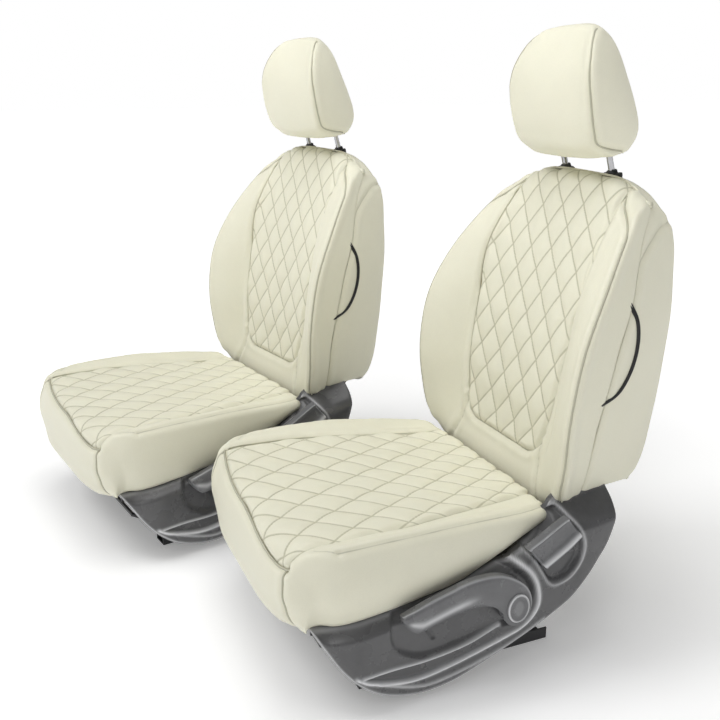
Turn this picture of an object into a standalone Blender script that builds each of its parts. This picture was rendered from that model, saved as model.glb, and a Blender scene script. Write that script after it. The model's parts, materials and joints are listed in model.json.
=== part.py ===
# Pair of covered vehicle front seats.
#
# Two free-standing front seats, each dressed in a fitted quilted cover.  Each seat is
# modelled once in its own frame and placed twice.  Seat frame: the origin is the middle of
# the line where the cushion top meets the backrest, +X is the occupant's left (the side that
# carries the levers), +Y points to the rear and +Z up.  Metres throughout.

import math

import bmesh
import bpy
import numpy as np
from mathutils import Matrix, Vector

# ------------------------------------------------------------------ driving dimensions
OBJECT_NAME = "seat_cover_set"
BITE_HEIGHT = 0.262          # height of the cushion/backrest line above the floor
SEATS = (                    # name, x, y of the seat origin, turn about Z in degrees
    ("left", 0.3407, 0.260, 0.0),
    ("right", -0.3503, 0.012, 10.0),
)
GAP = 0.0006                 # clearance left between neighbouring solids
COVER = 0.0032               # thickness of the cover material with its foam backing
FOAM_IN = 0.0130             # the moulded foam lies this far inside the cover's outer surface

RECLINE_Y, RECLINE_Z = 0.075, 0.012   # backrest hinge line
PIN_R = 0.008
TRIM_X0, TRIM_X1 = 0.2775, 0.2865     # side valance, inner and outer face
SIDE_PLATE_X0, SIDE_PLATE_X1 = 0.2135, 0.2175
RAIL_X = 0.192
RAIL_Y0, RAIL_Y1 = -0.352, 0.030      # fixed rail
SLIDER_Y0, SLIDER_Y1 = -0.345, -0.010  # sliding rail
LINK = 0.080                          # height links, hinge to hinge
LINK_REST = 15.0                      # their angle above level, pointing rearward
LINK_FRONT_Y, LINK_REAR_Y = -0.315, -0.055
LINK_LOW_Z = -0.204
POST_X = 0.070                        # headrest posts
POST_R = 0.006
POST_Y, POST_Z = 0.2105, 0.572        # where the post axis leaves the backrest
POST_LEAN = 17.0                      # forward lean of the posts, degrees
LEVER_Y, LEVER_Z = -0.098, -0.112     # height lever hub
PADDLE_Y, PADDLE_Z = -0.036, -0.048   # recline lever pivot

# ------------------------------------------------------------------ clean start
for ob in list(bpy.data.objects):
    bpy.data.objects.remove(ob, do_unlink=True)

parts = bpy.data.collections.new(OBJECT_NAME)
bpy.context.scene.collection.children.link(parts)
cutters = bpy.data.collections.new("cutters")
bpy.context.scene.collection.children.link(cutters)

# ------------------------------------------------------------------ materials
MATERIALS = {}


def material(name, color, rough, metal=0.0):
    if name not in MATERIALS:
        m = bpy.data.materials.new(name)
        m.use_nodes = True
        b = m.node_tree.nodes["Principled BSDF"]
        b.inputs["Base Color"].default_value = (*color, 1.0)
        b.inputs["Roughness"].default_value = rough
        b.inputs["Metallic"].default_value = metal
        m.diffuse_color = (*color, 1.0)
        MATERIALS[name] = m
    return MATERIALS[name]


CREAM = ("cream_leatherette", (0.82, 0.80, 0.66), 0.45)
FOAM = ("seat_foam", (0.72, 0.68, 0.50), 0.9)
PLASTIC = ("charcoal_plastic", (0.07, 0.07, 0.075), 0.5)
BLACK = ("black_trim", (0.02, 0.02, 0.02), 0.5)
STEEL = ("painted_steel", (0.10, 0.10, 0.11), 0.45, 0.3)
CHROME = ("chrome", (0.75, 0.75, 0.77), 0.12, 1.0)

# ------------------------------------------------------------------ small tools


def spline(xs, ys):
    """Smooth curve through (xs, ys), used for every profile below."""
    xs = np.asarray(xs, float)
    ys = np.asarray(ys, float)
    h = np.diff(xs)
    d = np.diff(ys) / h
    m = np.empty_like(ys)
    m[0], m[-1] = d[0], d[-1]
    m[1:-1] = (d[:-1] * h[1:] + d[1:] * h[:-1]) / (h[:-1] + h[1:])

    def f(t):
        t = np.clip(np.asarray(t, float), xs[0], xs[-1])
        i = np.clip(np.searchsorted(xs, t, side="right") - 1, 0, len(xs) - 2)
        w = xs[i + 1] - xs[i]
        u = (t - xs[i]) / w
        return ((2 * u**3 - 3 * u**2 + 1) * ys[i] + (u**3 - 2 * u**2 + u) * w * m[i]
                + (3 * u**2 - 2 * u**3) * ys[i + 1] + (u**3 - u**2) * w * m[i + 1])

    return f


def table(rows):
    cols = list(zip(*rows))
    return [spline(cols[0], c) for c in cols[1:]]

# ---------------- backrest: b runs from the bottom arc to the top edge
# b, front centre y z, front side y z, rear centre y z, rear side y z, half width front, rear
BACK = table([
 (0.00, .070,-.056, .070,.032, .100,-.053, .100,.032, .232, .225),
 (0.04, .040,-.036, .045,.033, .125,-.028, .125,.034, .234, .228),
 (0.08, .026, .000, .022,.035, .150, .004, .148,.040, .238, .231),
 (0.12, .030, .030, .015,.044, .188, .016, .172,.046, .246, .230),
 (0.16, .041, .060, .010,.064, .212, .034, .192,.058, .254, .229),
 (0.20, .049, .091, .008,.091, .224, .064, .206,.080, .262, .227),
 (0.34, .061, .181, .003,.181, .243, .172, .228,.172, .274, .224),
 (0.52, .082, .302, .020,.300, .252, .300, .242,.300, .274, .224),
 (0.70, .112, .416, .072,.406, .257, .412, .247,.403, .254, .220),
 (0.86, .149, .512, .140,.498, .256, .500, .246,.484, .217, .207),
 (0.93, .164, .546, .166,.521, .246, .540, .236,.510, .203, .198),
 (0.97, .178, .567, .184,.533, .230, .564, .222,.528, .194, .190),
 (1.00, .198, .577, .198,.538, .206, .577, .205,.537, .182, .178),
])
QW = spline([0,.08,.2,.34,.52,.70,.86,1.0],[.128,.130,.134,.149,.158,.167,.158,.150])  # quilt half width

def back(a, b, c, off=0.0):
    a = np.asarray(a, float); b = np.asarray(b, float); c = np.asarray(c, float)
    fcy, fcz, fsy, fsz, rcy, rcz, rsy, rsz, wf, wr = [f(b) for f in BACK]
    s = np.abs(a)
    aq = .60
    t = np.clip((s - aq) / (1 - aq), 0, 1)
    h = np.where(s < aq, .14 * (s / aq) ** 2, .14 + .86 * (1 - (1 - t) ** 1.9))
    k = np.where(b < .3, 6.0, 4.0)
    z4 = s ** k
    fy = fcy + (fsy - fcy) * h
    fz = fcz + (fsz - fcz) * z4
    ry = rcy + (rsy - rcy) * s ** 3
    rz = rcz + (rsz - rcz) * z4
    x = a * ((wf - off) * (1 - c) + (wr - off) * c) + np.sign(a) * s ** 10 * .012 * np.sin(np.pi * c) * np.sin(np.pi * b) ** 2
    y = (fy + off) * (1 - c) + (ry - off) * c
    z = fz * (1 - c) + rz * c + off * np.cos(np.pi * b)
    return np.stack(np.broadcast_arrays(x, y, z), -1)

# ---------------- cushion: b runs from the bite over the top and down the front
CUSH = table([
 # b, top centre y z, top side y z, bottom centre y z, bottom side y z, half width
 (0.00, .020,-.035,  .003,-.004,  .012,-.048,  .000,-.014, .205),
 (0.03, .018, .006,  .002, .012,  .004,-.050, -.008,-.012, .216),
 (0.06, .006, .019, -.004, .024, -.010,-.052, -.018,-.006, .226),
 (0.12,-.040, .021, -.040, .031, -.040,-.056, -.050,-.014, .240),
 (0.30,-.170, .027, -.170, .045, -.170,-.068, -.175,-.056, .260),
 (0.50,-.300, .032, -.295, .050, -.300,-.082, -.300,-.077, .269),
 (0.65,-.400, .032, -.390, .047, -.400,-.095, -.385,-.088, .266),
 (0.75,-.455, .030, -.438, .042, -.432,-.102, -.420,-.092, .258),
 (0.80,-.480, .026, -.456, .036, -.445,-.105, -.430,-.093, .252),
 (0.84,-.496, .017, -.470, .026, -.453,-.108, -.438,-.095, .246),
 (0.88,-.507,-.002, -.482, .008, -.460,-.111, -.443,-.097, .243),
 (0.92,-.513,-.034, -.494,-.022, -.465,-.114, -.448,-.099, .241),
 (0.96,-.511,-.072, -.493,-.058, -.470,-.117, -.453,-.101, .239),
 (0.985,-.500,-.104,-.483,-.088, -.474,-.119, -.457,-.103, .236),
 (1.00,-.486,-.120, -.470,-.104, -.476,-.122, -.460,-.105, .232),
])
CQ = spline([0,.12,.3,.5,.75,.84,1],[.160,.172,.197,.217,.222,.222,.215])

def cushion(a, b, c, off=0.0):
    a = np.asarray(a, float); b = np.asarray(b, float); c = np.asarray(c, float)
    tcy, tcz, tsy, tsz, bcy, bcz, bsy, bsz, w = [f(b) for f in CUSH]
    s = np.abs(a)
    aq = .80
    t = np.clip((s - aq) / (1 - aq), 0, 1)
    h = np.where(s < aq, .10 * (s / aq) ** 2, .10 + .90 * np.sin(t * np.pi / 2) ** 1.3)
    z4 = s ** 4
    ty = tcy + (tsy - tcy) * z4
    tz = tcz + (tsz - tcz) * h
    by = bcy + (bsy - bcy) * z4
    bz = bcz + (bsz - bcz) * s ** 6
    x = a * (w - off) + np.sign(a) * s ** 10 * .016 * np.sin(np.pi * c)
    fr = np.clip((b - .8) / .2, 0, 1)
    y = ty * (1 - c) + by * c + off * (fr - np.clip(1 - b / .06, 0, 1)) * (1 - c)
    z = (tz - off * np.clip(1 - fr, 0, 1)) * (1 - c) + (bz + off) * c
    return np.stack(np.broadcast_arrays(x, y, z), -1)

# ---------------- headrest
HEAD = table([
 # b, front centre y z, front side y z, rear centre y z, rear side y z, half width front, rear
 (0.00, .180, .603, .184, .606, .216, .610, .212, .612, .112, .104),
 (0.06, .148, .597, .160, .605, .224, .616, .216, .619, .118, .108),
 (0.14, .126, .609, .136, .621, .231, .628, .223, .634, .122, .112),
 (0.30, .112, .646, .118, .652, .235, .656, .227, .660, .127, .115),
 (0.50, .108, .695, .106, .698, .225, .698, .216, .700, .128, .113),
 (0.70, .113, .747, .101, .750, .205, .748, .195, .750, .122, .107),
 (0.86, .124, .793, .108, .790, .183, .793, .175, .788, .107, .094),
 (0.94, .134, .817, .118, .810, .169, .818, .162, .808, .092, .082),
 (0.98, .143, .829, .128, .822, .159, .830, .151, .819, .078, .072),
 (1.00, .151, .834, .140, .826, .151, .834, .140, .826, .064, .064),
])

def head(a, b, c, off=0.0):
    a = np.asarray(a, float); b = np.asarray(b, float); c = np.asarray(c, float)
    fcy, fcz, fsy, fsz, rcy, rcz, rsy, rsz, wf, wr = [f(b) for f in HEAD]
    s = np.abs(a)
    fy = fcy + (fsy - fcy) * s ** 3
    fz = fcz + (fsz - fcz) * s ** 4
    ry = rcy + (rsy - rcy) * s ** 3
    rz = rcz + (rsz - rcz) * s ** 4
    x = a * ((wf - off) * (1 - c) + (wr - off) * c) + np.sign(a) * s ** 8 * .010 * np.sin(np.pi * c) * np.sin(np.pi * b)
    y = (fy + off) * (1 - c) + (ry - off) * c
    z = fz * (1 - c) + rz * c + off * np.cos(np.pi * b)
    return np.stack(np.broadcast_arrays(x, y, z), -1)

# side seam of the backrest and the fraction of its depth that foam fills, both over b
SIDE_SEAM = spline([0, .12, .22, .36, .52, .69, .76, .84, .90, 1.0],
                   [.30, .28, .255, .29, .34, .365, .33, .28, .30, .32])
FOAM_DEPTH = spline([0, .12, .34, .52, .70, .86, .93, 1.0], [.80, .74, .64, .60, .52, .38, .30, .2])


def pan_z(y):
    """Top of the cushion pan, a plate that falls gently to the front."""
    return -.052 + .112 * y


# ------------------------------------------------------------------ mesh makers (seat frame)


def new_object(name, mesh, mat):
    ob = bpy.data.objects.new(name, mesh)
    parts.objects.link(ob)
    mesh.materials.clear()
    mesh.materials.append(material(*mat))
    return ob


def from_bmesh(name, bm, mat):
    bmesh.ops.recalc_face_normals(bm, faces=bm.faces[:])
    if bm.calc_volume(signed=True) < 0:
        bmesh.ops.reverse_faces(bm, faces=bm.faces[:])
    me = bpy.data.meshes.new(name)
    bm.to_mesh(me)
    bm.free()
    return new_object(name, me, mat)


def sheet(name, fn, cols, rows, mat, keep=None, closed=False):
    """A cover panel: a grid laid on a form and thickened inward.

    cols are (a, c) pairs across, each a number or a function of b; rows are values of b.
    keep(i, j) says which cells of the grid belong to the panel.
    """
    nx, ny = len(cols) - 1, len(rows) - 1
    bm = bmesh.new()
    bmesh.ops.create_grid(bm, x_segments=nx, y_segments=ny, size=1.0)
    cells = {}
    for f in bm.faces:
        m = f.calc_center_median()
        cells[f] = (int((m.x + 1) / 2 * nx), int((m.y + 1) / 2 * ny))
    if keep:
        gone = [f for f, (i, j) in cells.items() if not keep(i, j)]
        bmesh.ops.delete(bm, geom=gone, context="FACES")
    for v in bm.verts:
        i = round((v.co.x + 1) / 2 * nx)
        b = rows[round((v.co.y + 1) / 2 * ny)]
        a, c = (q(b) if callable(q) else q for q in cols[i])
        v.co = Vector(fn(a, b, c).tolist())
    if closed:
        bmesh.ops.remove_doubles(bm, verts=bm.verts[:], dist=1e-4)
        bmesh.ops.dissolve_degenerate(bm, edges=bm.edges[:], dist=1e-4)
    # normals outward: away from the middle of the form
    bmesh.ops.recalc_face_normals(bm, faces=bm.faces[:])
    mid = Vector(fn(0.0, .5, .5).tolist())
    side = sum((f.calc_center_median() - mid).dot(f.normal) * f.calc_area() for f in bm.faces)
    if side < 0:
        bmesh.ops.reverse_faces(bm, faces=bm.faces[:])
    me = bpy.data.meshes.new(name)
    bm.to_mesh(me)
    bm.free()
    ob = new_object(name, me, mat)
    mod = ob.modifiers.new("thickness", "SOLIDIFY")
    mod.thickness = COVER
    mod.offset = -1.0
    mod.use_even_offset = False
    me.shade_smooth()
    return ob


def block(name, fn, mat, cuts=5):
    """A closed soft form: a subdivided cube whose points are carried by fn(u, v, w) in 0..1."""
    bm = bmesh.new()
    bmesh.ops.create_cube(bm, size=2.0)
    bmesh.ops.subdivide_edges(bm, edges=bm.edges[:], cuts=cuts, use_grid_fill=True)
    for v in bm.verts:
        v.co = Vector(fn(v.co.x, (v.co.y + 1) / 2, (v.co.z + 1) / 2).tolist())
    ob = from_bmesh(name, bm, mat)
    ob.data.shade_smooth()
    return ob


def box(name, lo, hi, mat):
    bm = bmesh.new()
    bmesh.ops.create_cube(bm, size=1.0)
    for v in bm.verts:
        v.co = Vector([lo[k] if v.co[k] < 0 else hi[k] for k in range(3)])
    return from_bmesh(name, bm, mat)


def rod(name, p0, p1, r, mat, seg=12, r2=None):
    p0, p1 = Vector(p0), Vector(p1)
    bm = bmesh.new()
    bmesh.ops.create_cone(bm, cap_ends=True, segments=seg, radius1=r,
                          radius2=r if r2 is None else r2, depth=(p1 - p0).length)
    turn = Vector((0, 0, 1)).rotation_difference((p1 - p0).normalized()).to_matrix().to_4x4()
    bmesh.ops.transform(bm, matrix=Matrix.Translation((p0 + p1) / 2) @ turn, verts=bm.verts[:])
    return from_bmesh(name, bm, mat)


def curve_to_mesh(name, ob, mat):
    dg = bpy.context.evaluated_depsgraph_get()
    me = bpy.data.meshes.new_from_object(ob.evaluated_get(dg))
    me.transform(ob.matrix_world)
    bpy.data.objects.remove(ob, do_unlink=True)
    bm = bmesh.new()
    bm.from_mesh(me)
    bmesh.ops.remove_doubles(bm, verts=bm.verts[:], dist=1e-5)
    return from_bmesh(name, bm, mat)


PLANES = {
    "YZ": Matrix(((0, 0, 1, 0), (1, 0, 0, 0), (0, 1, 0, 0), (0, 0, 0, 1))),   # extrudes along X
    "XZ": Matrix(((1, 0, 0, 0), (0, 0, -1, 0), (0, 1, 0, 0), (0, 0, 0, 1))),  # extrudes along Y
}


def plate(name, outline, lo, hi, mat, plane="YZ", bevel=0.0):
    """A flat outline given thickness, from lo to hi across its plane."""
    cu = bpy.data.curves.new(name, "CURVE")
    cu.dimensions = "2D"
    cu.fill_mode = "BOTH"
    cu.extrude = abs(hi - lo) / 2
    sp = cu.splines.new("POLY")
    sp.points.add(len(outline) - 1)
    for p, (u, v) in zip(sp.points, outline):
        p.co = (u, v, 0, 1)
    sp.use_cyclic_u = True
    ob = bpy.data.objects.new(name, cu)
    parts.objects.link(ob)
    shift = {"YZ": Vector(((lo + hi) / 2, 0, 0)), "XZ": Vector((0, (lo + hi) / 2, 0))}[plane]
    ob.matrix_world = Matrix.Translation(shift) @ PLANES[plane]
    bpy.context.view_layer.update()
    ob = curve_to_mesh(name, ob, mat)
    if bevel:
        mod = ob.modifiers.new("edges", "BEVEL")
        mod.width = bevel
        mod.segments = 1
        mod.limit_method = "ANGLE"
        mod.angle_limit = math.radians(50)
    return ob


def tube(name, points, r, mat, resolution=2):
    cu = bpy.data.curves.new(name, "CURVE")
    cu.dimensions = "3D"
    cu.bevel_depth = r
    cu.bevel_resolution = resolution
    cu.use_fill_caps = True
    sp = cu.splines.new("POLY")
    sp.points.add(len(points) - 1)
    for p, q in zip(sp.points, points):
        p.co = (*q, 1)
    ob = bpy.data.objects.new(name, cu)
    parts.objects.link(ob)
    bpy.context.view_layer.update()
    return curve_to_mesh(name, ob, mat)


def combine(target, others, op):
    """Boolean target with others, apply it, and drop the tools."""
    for other in others:
        parts.objects.unlink(other)
        cutters.objects.link(other)
        mod = target.modifiers.new("bool", "BOOLEAN")
        mod.operation = op
        mod.solver = "EXACT"
        mod.object = other
    bpy.context.view_layer.update()
    dg = bpy.context.evaluated_depsgraph_get()
    me = bpy.data.meshes.new_from_object(target.evaluated_get(dg))
    target.modifiers.clear()
    old = target.data
    target.data = me
    bpy.data.meshes.remove(old)
    for other in others:
        bpy.data.objects.remove(other, do_unlink=True)
    return target


def union(target, *others):
    return combine(target, others, "UNION")


def cut(target, *others):
    return combine(target, others, "DIFFERENCE")


def arc(cy, cz, r, a0, a1, n):
    return [(cy + r * math.cos(math.radians(t)), cz + r * math.sin(math.radians(t)))
            for t in np.linspace(a0, a1, n)]


def mirrored(outline):
    return [(-u, v) for u, v in reversed(outline)]


# ------------------------------------------------------------------ one seat


def rails(pre):
    """Fixed C rail on the floor and the slider that runs in it, outer then inner side."""
    made = []
    w, h, t = .020, .022, .003
    z0 = -BITE_HEIGHT
    for side, s in (("outer", 1), ("inner", -1)):
        x = s * RAIL_X
        u = [(x - w, z0), (x + w, z0), (x + w, z0 + h), (x + w - t, z0 + h), (x + w - t, z0 + t),
             (x - w + t, z0 + t), (x - w + t, z0 + h), (x - w, z0 + h)]
        made.append(("floor", plate(f"{pre}_rail_lower_{side}", u, RAIL_Y0, RAIL_Y1, STEEL, "XZ")))
        zb, zt = z0 + t + .0008, z0 + h + .004
        sl = box(f"{pre}_rail_slider_{side}", (x - w + t + .0012, SLIDER_Y0, zb),
                 (x + w - t - .0012, SLIDER_Y1, zt), STEEL)
        ears = []
        for y in (LINK_FRONT_Y, LINK_REAR_Y):
            e = ([(y - .016, zt - .004), (y + .016, zt - .004)]
                 + arc(y, LINK_LOW_Z, .014, 0, 180, 6))
            if y == LINK_FRONT_Y:
                e = [(y - .034, zt - .004), (y + .016, zt - .004)] + arc(y, LINK_LOW_Z, .014, 0, 150, 5) \
                    + [(y - .034, LINK_LOW_Z - .010)]
            lo, hi = sorted((s * .1865, s * .1905))
            ears.append(plate("ear", e, lo, hi, STEEL))
        union(sl, *ears)
        holes = [rod("hole", (s * .180, y, LINK_LOW_Z), (s * .2, y, LINK_LOW_Z), .0062, STEEL)
                 for y in (LINK_FRONT_Y, LINK_REAR_Y)]
        made.append(("slide", cut(sl, *holes)))
    return made


def link_frame(pre, which, y0):
    """Two lift links welded to their torque tube, with the pins at both ends."""
    ang = math.radians(LINK_REST)
    y1, z1 = y0 + LINK * math.cos(ang), LINK_LOW_Z + LINK * math.sin(ang)
    low = arc(y0, LINK_LOW_Z, .012, LINK_REST + 90, LINK_REST + 270, 6)
    top = arc(y1, z1, .014, LINK_REST - 90, LINK_REST + 90, 6)
    tb = rod(f"{pre}_lift_link_{which}", (-.199, y1, z1), (.199, y1, z1), .010, STEEL, 12)
    adds = []
    for s in (1, -1):
        lo, hi = sorted((s * .1945, s * .1985))
        adds.append(plate("arm", low + top, lo, hi, STEEL))
        adds.append(rod("pin", (s * .1955, y0, LINK_LOW_Z), (s * .1840, y0, LINK_LOW_Z), .0055, STEEL, 10))
        adds.append(rod("stub", (s * .1980, y1, z1), (s * .2190, y1, z1), .0068, STEEL, 10))
    union(tb, *adds)
    tb.data.shade_smooth()
    tb.data.set_sharp_from_angle(angle=math.radians(35))
    return tb


def cushion_parts(pre):
    made = []
    ang = math.radians(LINK_REST)
    tops = [(y + LINK * math.cos(ang), LINK_LOW_Z + LINK * math.sin(ang))
            for y in (LINK_FRONT_Y, LINK_REAR_Y)]
    # pressed pan with two stiffening ribs
    pan = box(f"{pre}_cushion_pan", (-.2125, -.440, -1), (.2125, -.004, 1), STEEL)
    for v in pan.data.vertices:
        v.co.z = pan_z(v.co.y) - (.0028 if v.co.z < 0 else 0.0)
    ribs = []
    for x in (-.11, 0, .11):
        rib = box("rib", (x - .010, -.40, -1), (x + .010, -.05, 1), STEEL)
        for v in rib.data.vertices:
            v.co.z = pan_z(v.co.y) - (.012 if v.co.z < 0 else .001)
        ribs.append(rib)
    made.append(("cushion", union(pan, *ribs)))
    # side plates carry the pan, the links and the recliner
    for side, s in (("outer", 1), ("inner", -1)):
        ol = [(-.440, pan_z(-.440)), (-.440, -.128), (-.330, -.165), (-.270, -.203), (.040, -.203),
              (.075, -.160), (.096, -.060)]
        ol += arc(RECLINE_Y, RECLINE_Z, .021, 0, 180, 7)
        ol += [(.046, -.040), (.030, pan_z(.03)), (-.004, pan_z(-.004))]
        lo, hi = sorted((s * SIDE_PLATE_X0, s * SIDE_PLATE_X1))
        sp = plate(f"{pre}_side_plate_{side}", list(reversed(ol)), lo, hi, STEEL)
        holes = [rod("h", (s * .20, y, z), (s * .23, y, z), .0074, STEEL) for y, z in tops]
        cut(sp, *holes)
        pin = rod("pin", (s * (SIDE_PLATE_X0 + .001), RECLINE_Y, RECLINE_Z),
                  (s * .190, RECLINE_Y, RECLINE_Z), PIN_R, STEEL, 16)
        made.append(("cushion", union(sp, pin)))

    def foam(u, v, w):
        b = .075 + .870 * v
        p = cushion(u, b, 0.0, FOAM_IN)
        q = cushion(u, b, 1.0, FOAM_IN)
        q[2] = pan_z(q[1]) + .0008
        return p * (1 - w) + q * w

    made.append(("cushion", block(f"{pre}_cushion_foam", lambda u, v, w: foam(u, v, 1 - w), FOAM, 4)))

    W = CUSH[8]
    edge = .0016

    def q(k):
        return lambda b: k * (CQ(b) - edge) / float(W(b))

    qc = [(q(k), 0.0) for k in np.linspace(-1, 1, 7)]
    qrows = [.05, .12, .25, .40, .55, .68, .76, .81, .834]
    made.append(("cushion", sheet(f"{pre}_cushion_quilt_cover", cushion, qc, qrows, CREAM)))

    def r(k):
        return lambda b: k * (CQ(b) + edge) / float(W(b))

    side_c = [1.0, .66, .33]
    bc = ([(-1.0, c) for c in side_c] + [(-1.0, 0.0)] + [(r(k), 0.0) for k in np.linspace(-1, 1, 5)]
          + [(1.0, 0.0)] + [(1.0, c) for c in reversed(side_c)])
    brows = [.05, .12, .25, .40, .55, .68, .76, .81, .851, .90, .95, 1.0]
    inner = range(4, 8)
    made.append(("cushion", sheet(f"{pre}_cushion_border_cover", cushion, bc, brows, CREAM,
                                  keep=lambda i, j: not (i in inner and j < 8))))
    return made, tops


def trims(pre):
    bottom = spline([0, .09, .18, .27, .36, .45, .52, .60, .68, .76, .84, .92, 1.0],
                    [-.448, -.434, -.410, -.363, -.294, -.215, -.150, -.085, -.020, .036, .074, .100, .113])
    bottom_z = spline([0, .09, .18, .27, .36, .45, .52, .60, .68, .76, .84, .92, 1.0],
                      [-.100, -.129, -.168, -.216, -.245, -.243, -.222, -.196, -.165, -.128, -.079, -.029, .022])
    low = [(float(bottom(t)), float(bottom_z(t))) for t in np.linspace(0, 1, 15)]
    top = [(.113, .034), (.030, .026), (.006, .012), (-.022, -.006), (-.062, -.027), (-.120, -.046), (-.195, -.067),
           (-.300, -.086), (-.385, -.096), (-.440, -.099)]
    outer = plate(f"{pre}_valance_outer", low + top, TRIM_X0, TRIM_X1, PLASTIC)
    bosses = [rod("boss", (.2190, y, z), (TRIM_X0 + .001, y, z), .008, PLASTIC, 12)
              for y, z in ((-.335, -.148), (.035, -.125))]
    union(outer, *bosses)
    cut(outer,
        rod("h", (TRIM_X0 - .01, LEVER_Y, LEVER_Z), (TRIM_X1 + .01, LEVER_Y, LEVER_Z), .0078, PLASTIC),
        rod("h", (TRIM_X0 - .01, PADDLE_Y, PADDLE_Z), (TRIM_X1 + .01, PADDLE_Y, PADDLE_Z), .0064, PLASTIC))
    # the inner trim stays below the cushion's rear corner
    low_in = [p for p in low if p[1] < -.045]
    top_in = [(.092, -.036), (.060, -.026), (.000, -.022), (-.062, -.032), (-.120, -.048)] + top[6:]
    inn = plate(f"{pre}_valance_inner", low_in + top_in, -TRIM_X1, -TRIM_X0, PLASTIC)
    bosses = [rod("boss", (-.2190, y, z), (-TRIM_X0 - .001, y, z), .008, PLASTIC, 12)
              for y, z in ((-.335, -.148), (.035, -.125))]
    union(inn, *bosses)
    return [("cushion", outer), ("cushion", inn)]


def levers(pre):
    x0, x1 = TRIM_X1 + .0025, TRIM_X1 + .0215
    hub = arc(LEVER_Y, LEVER_Z, .029, -170, 75, 10)
    top = [(-.122, -.053), (-.150, -.048), (-.200, -.053), (-.252, -.066), (-.300, -.079)]
    tip = [(-.311, -.083), (-.313, -.088), (-.295, -.113), (-.286, -.118), (-.276, -.119)]
    low = [(-.240, -.109), (-.195, -.092), (-.165, -.087), (-.145, -.093)]
    lever = plate(f"{pre}_height_lever", hub + top + tip + low, x0, x1, PLASTIC)
    shaft = rod("shaft", (x0 + .004, LEVER_Y, LEVER_Z), (.2190, LEVER_Y, LEVER_Z), .0072, PLASTIC, 12)
    union(lever, shaft)
    cap = rod(f"{pre}_height_lever_cap", (x1 + .0004, LEVER_Y, LEVER_Z), (x1 + .0034, LEVER_Y, LEVER_Z),
              .0205, PLASTIC, 20, r2=.0180)
    cap.data.shade_smooth()
    cap.data.set_sharp_from_angle(angle=math.radians(35))
    pad = [(-.078, -.012), (-.072, -.025), (-.045, -.055), (-.034, -.060), (-.022, -.056), (.020, -.018),
           (.027, -.008), (.024, .002), (.010, .024), (.003, .029), (-.006, .027), (-.060, -.003)]
    px1 = TRIM_X1 + .0150
    paddle = plate(f"{pre}_recline_lever", pad, x0, px1, PLASTIC)
    shaft = rod("shaft", (x0 + .004, PADDLE_Y, PADDLE_Z), (.2440, PADDLE_Y, PADDLE_Z), .0058, PLASTIC, 12)
    union(paddle, shaft)
    return [("height_lever", lever), ("height_lever", cap), ("recline_lever", paddle)]


def post_point(s):
    t = math.radians(POST_LEAN)
    return POST_Y - s * math.sin(t), POST_Z + s * math.cos(t)


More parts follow.
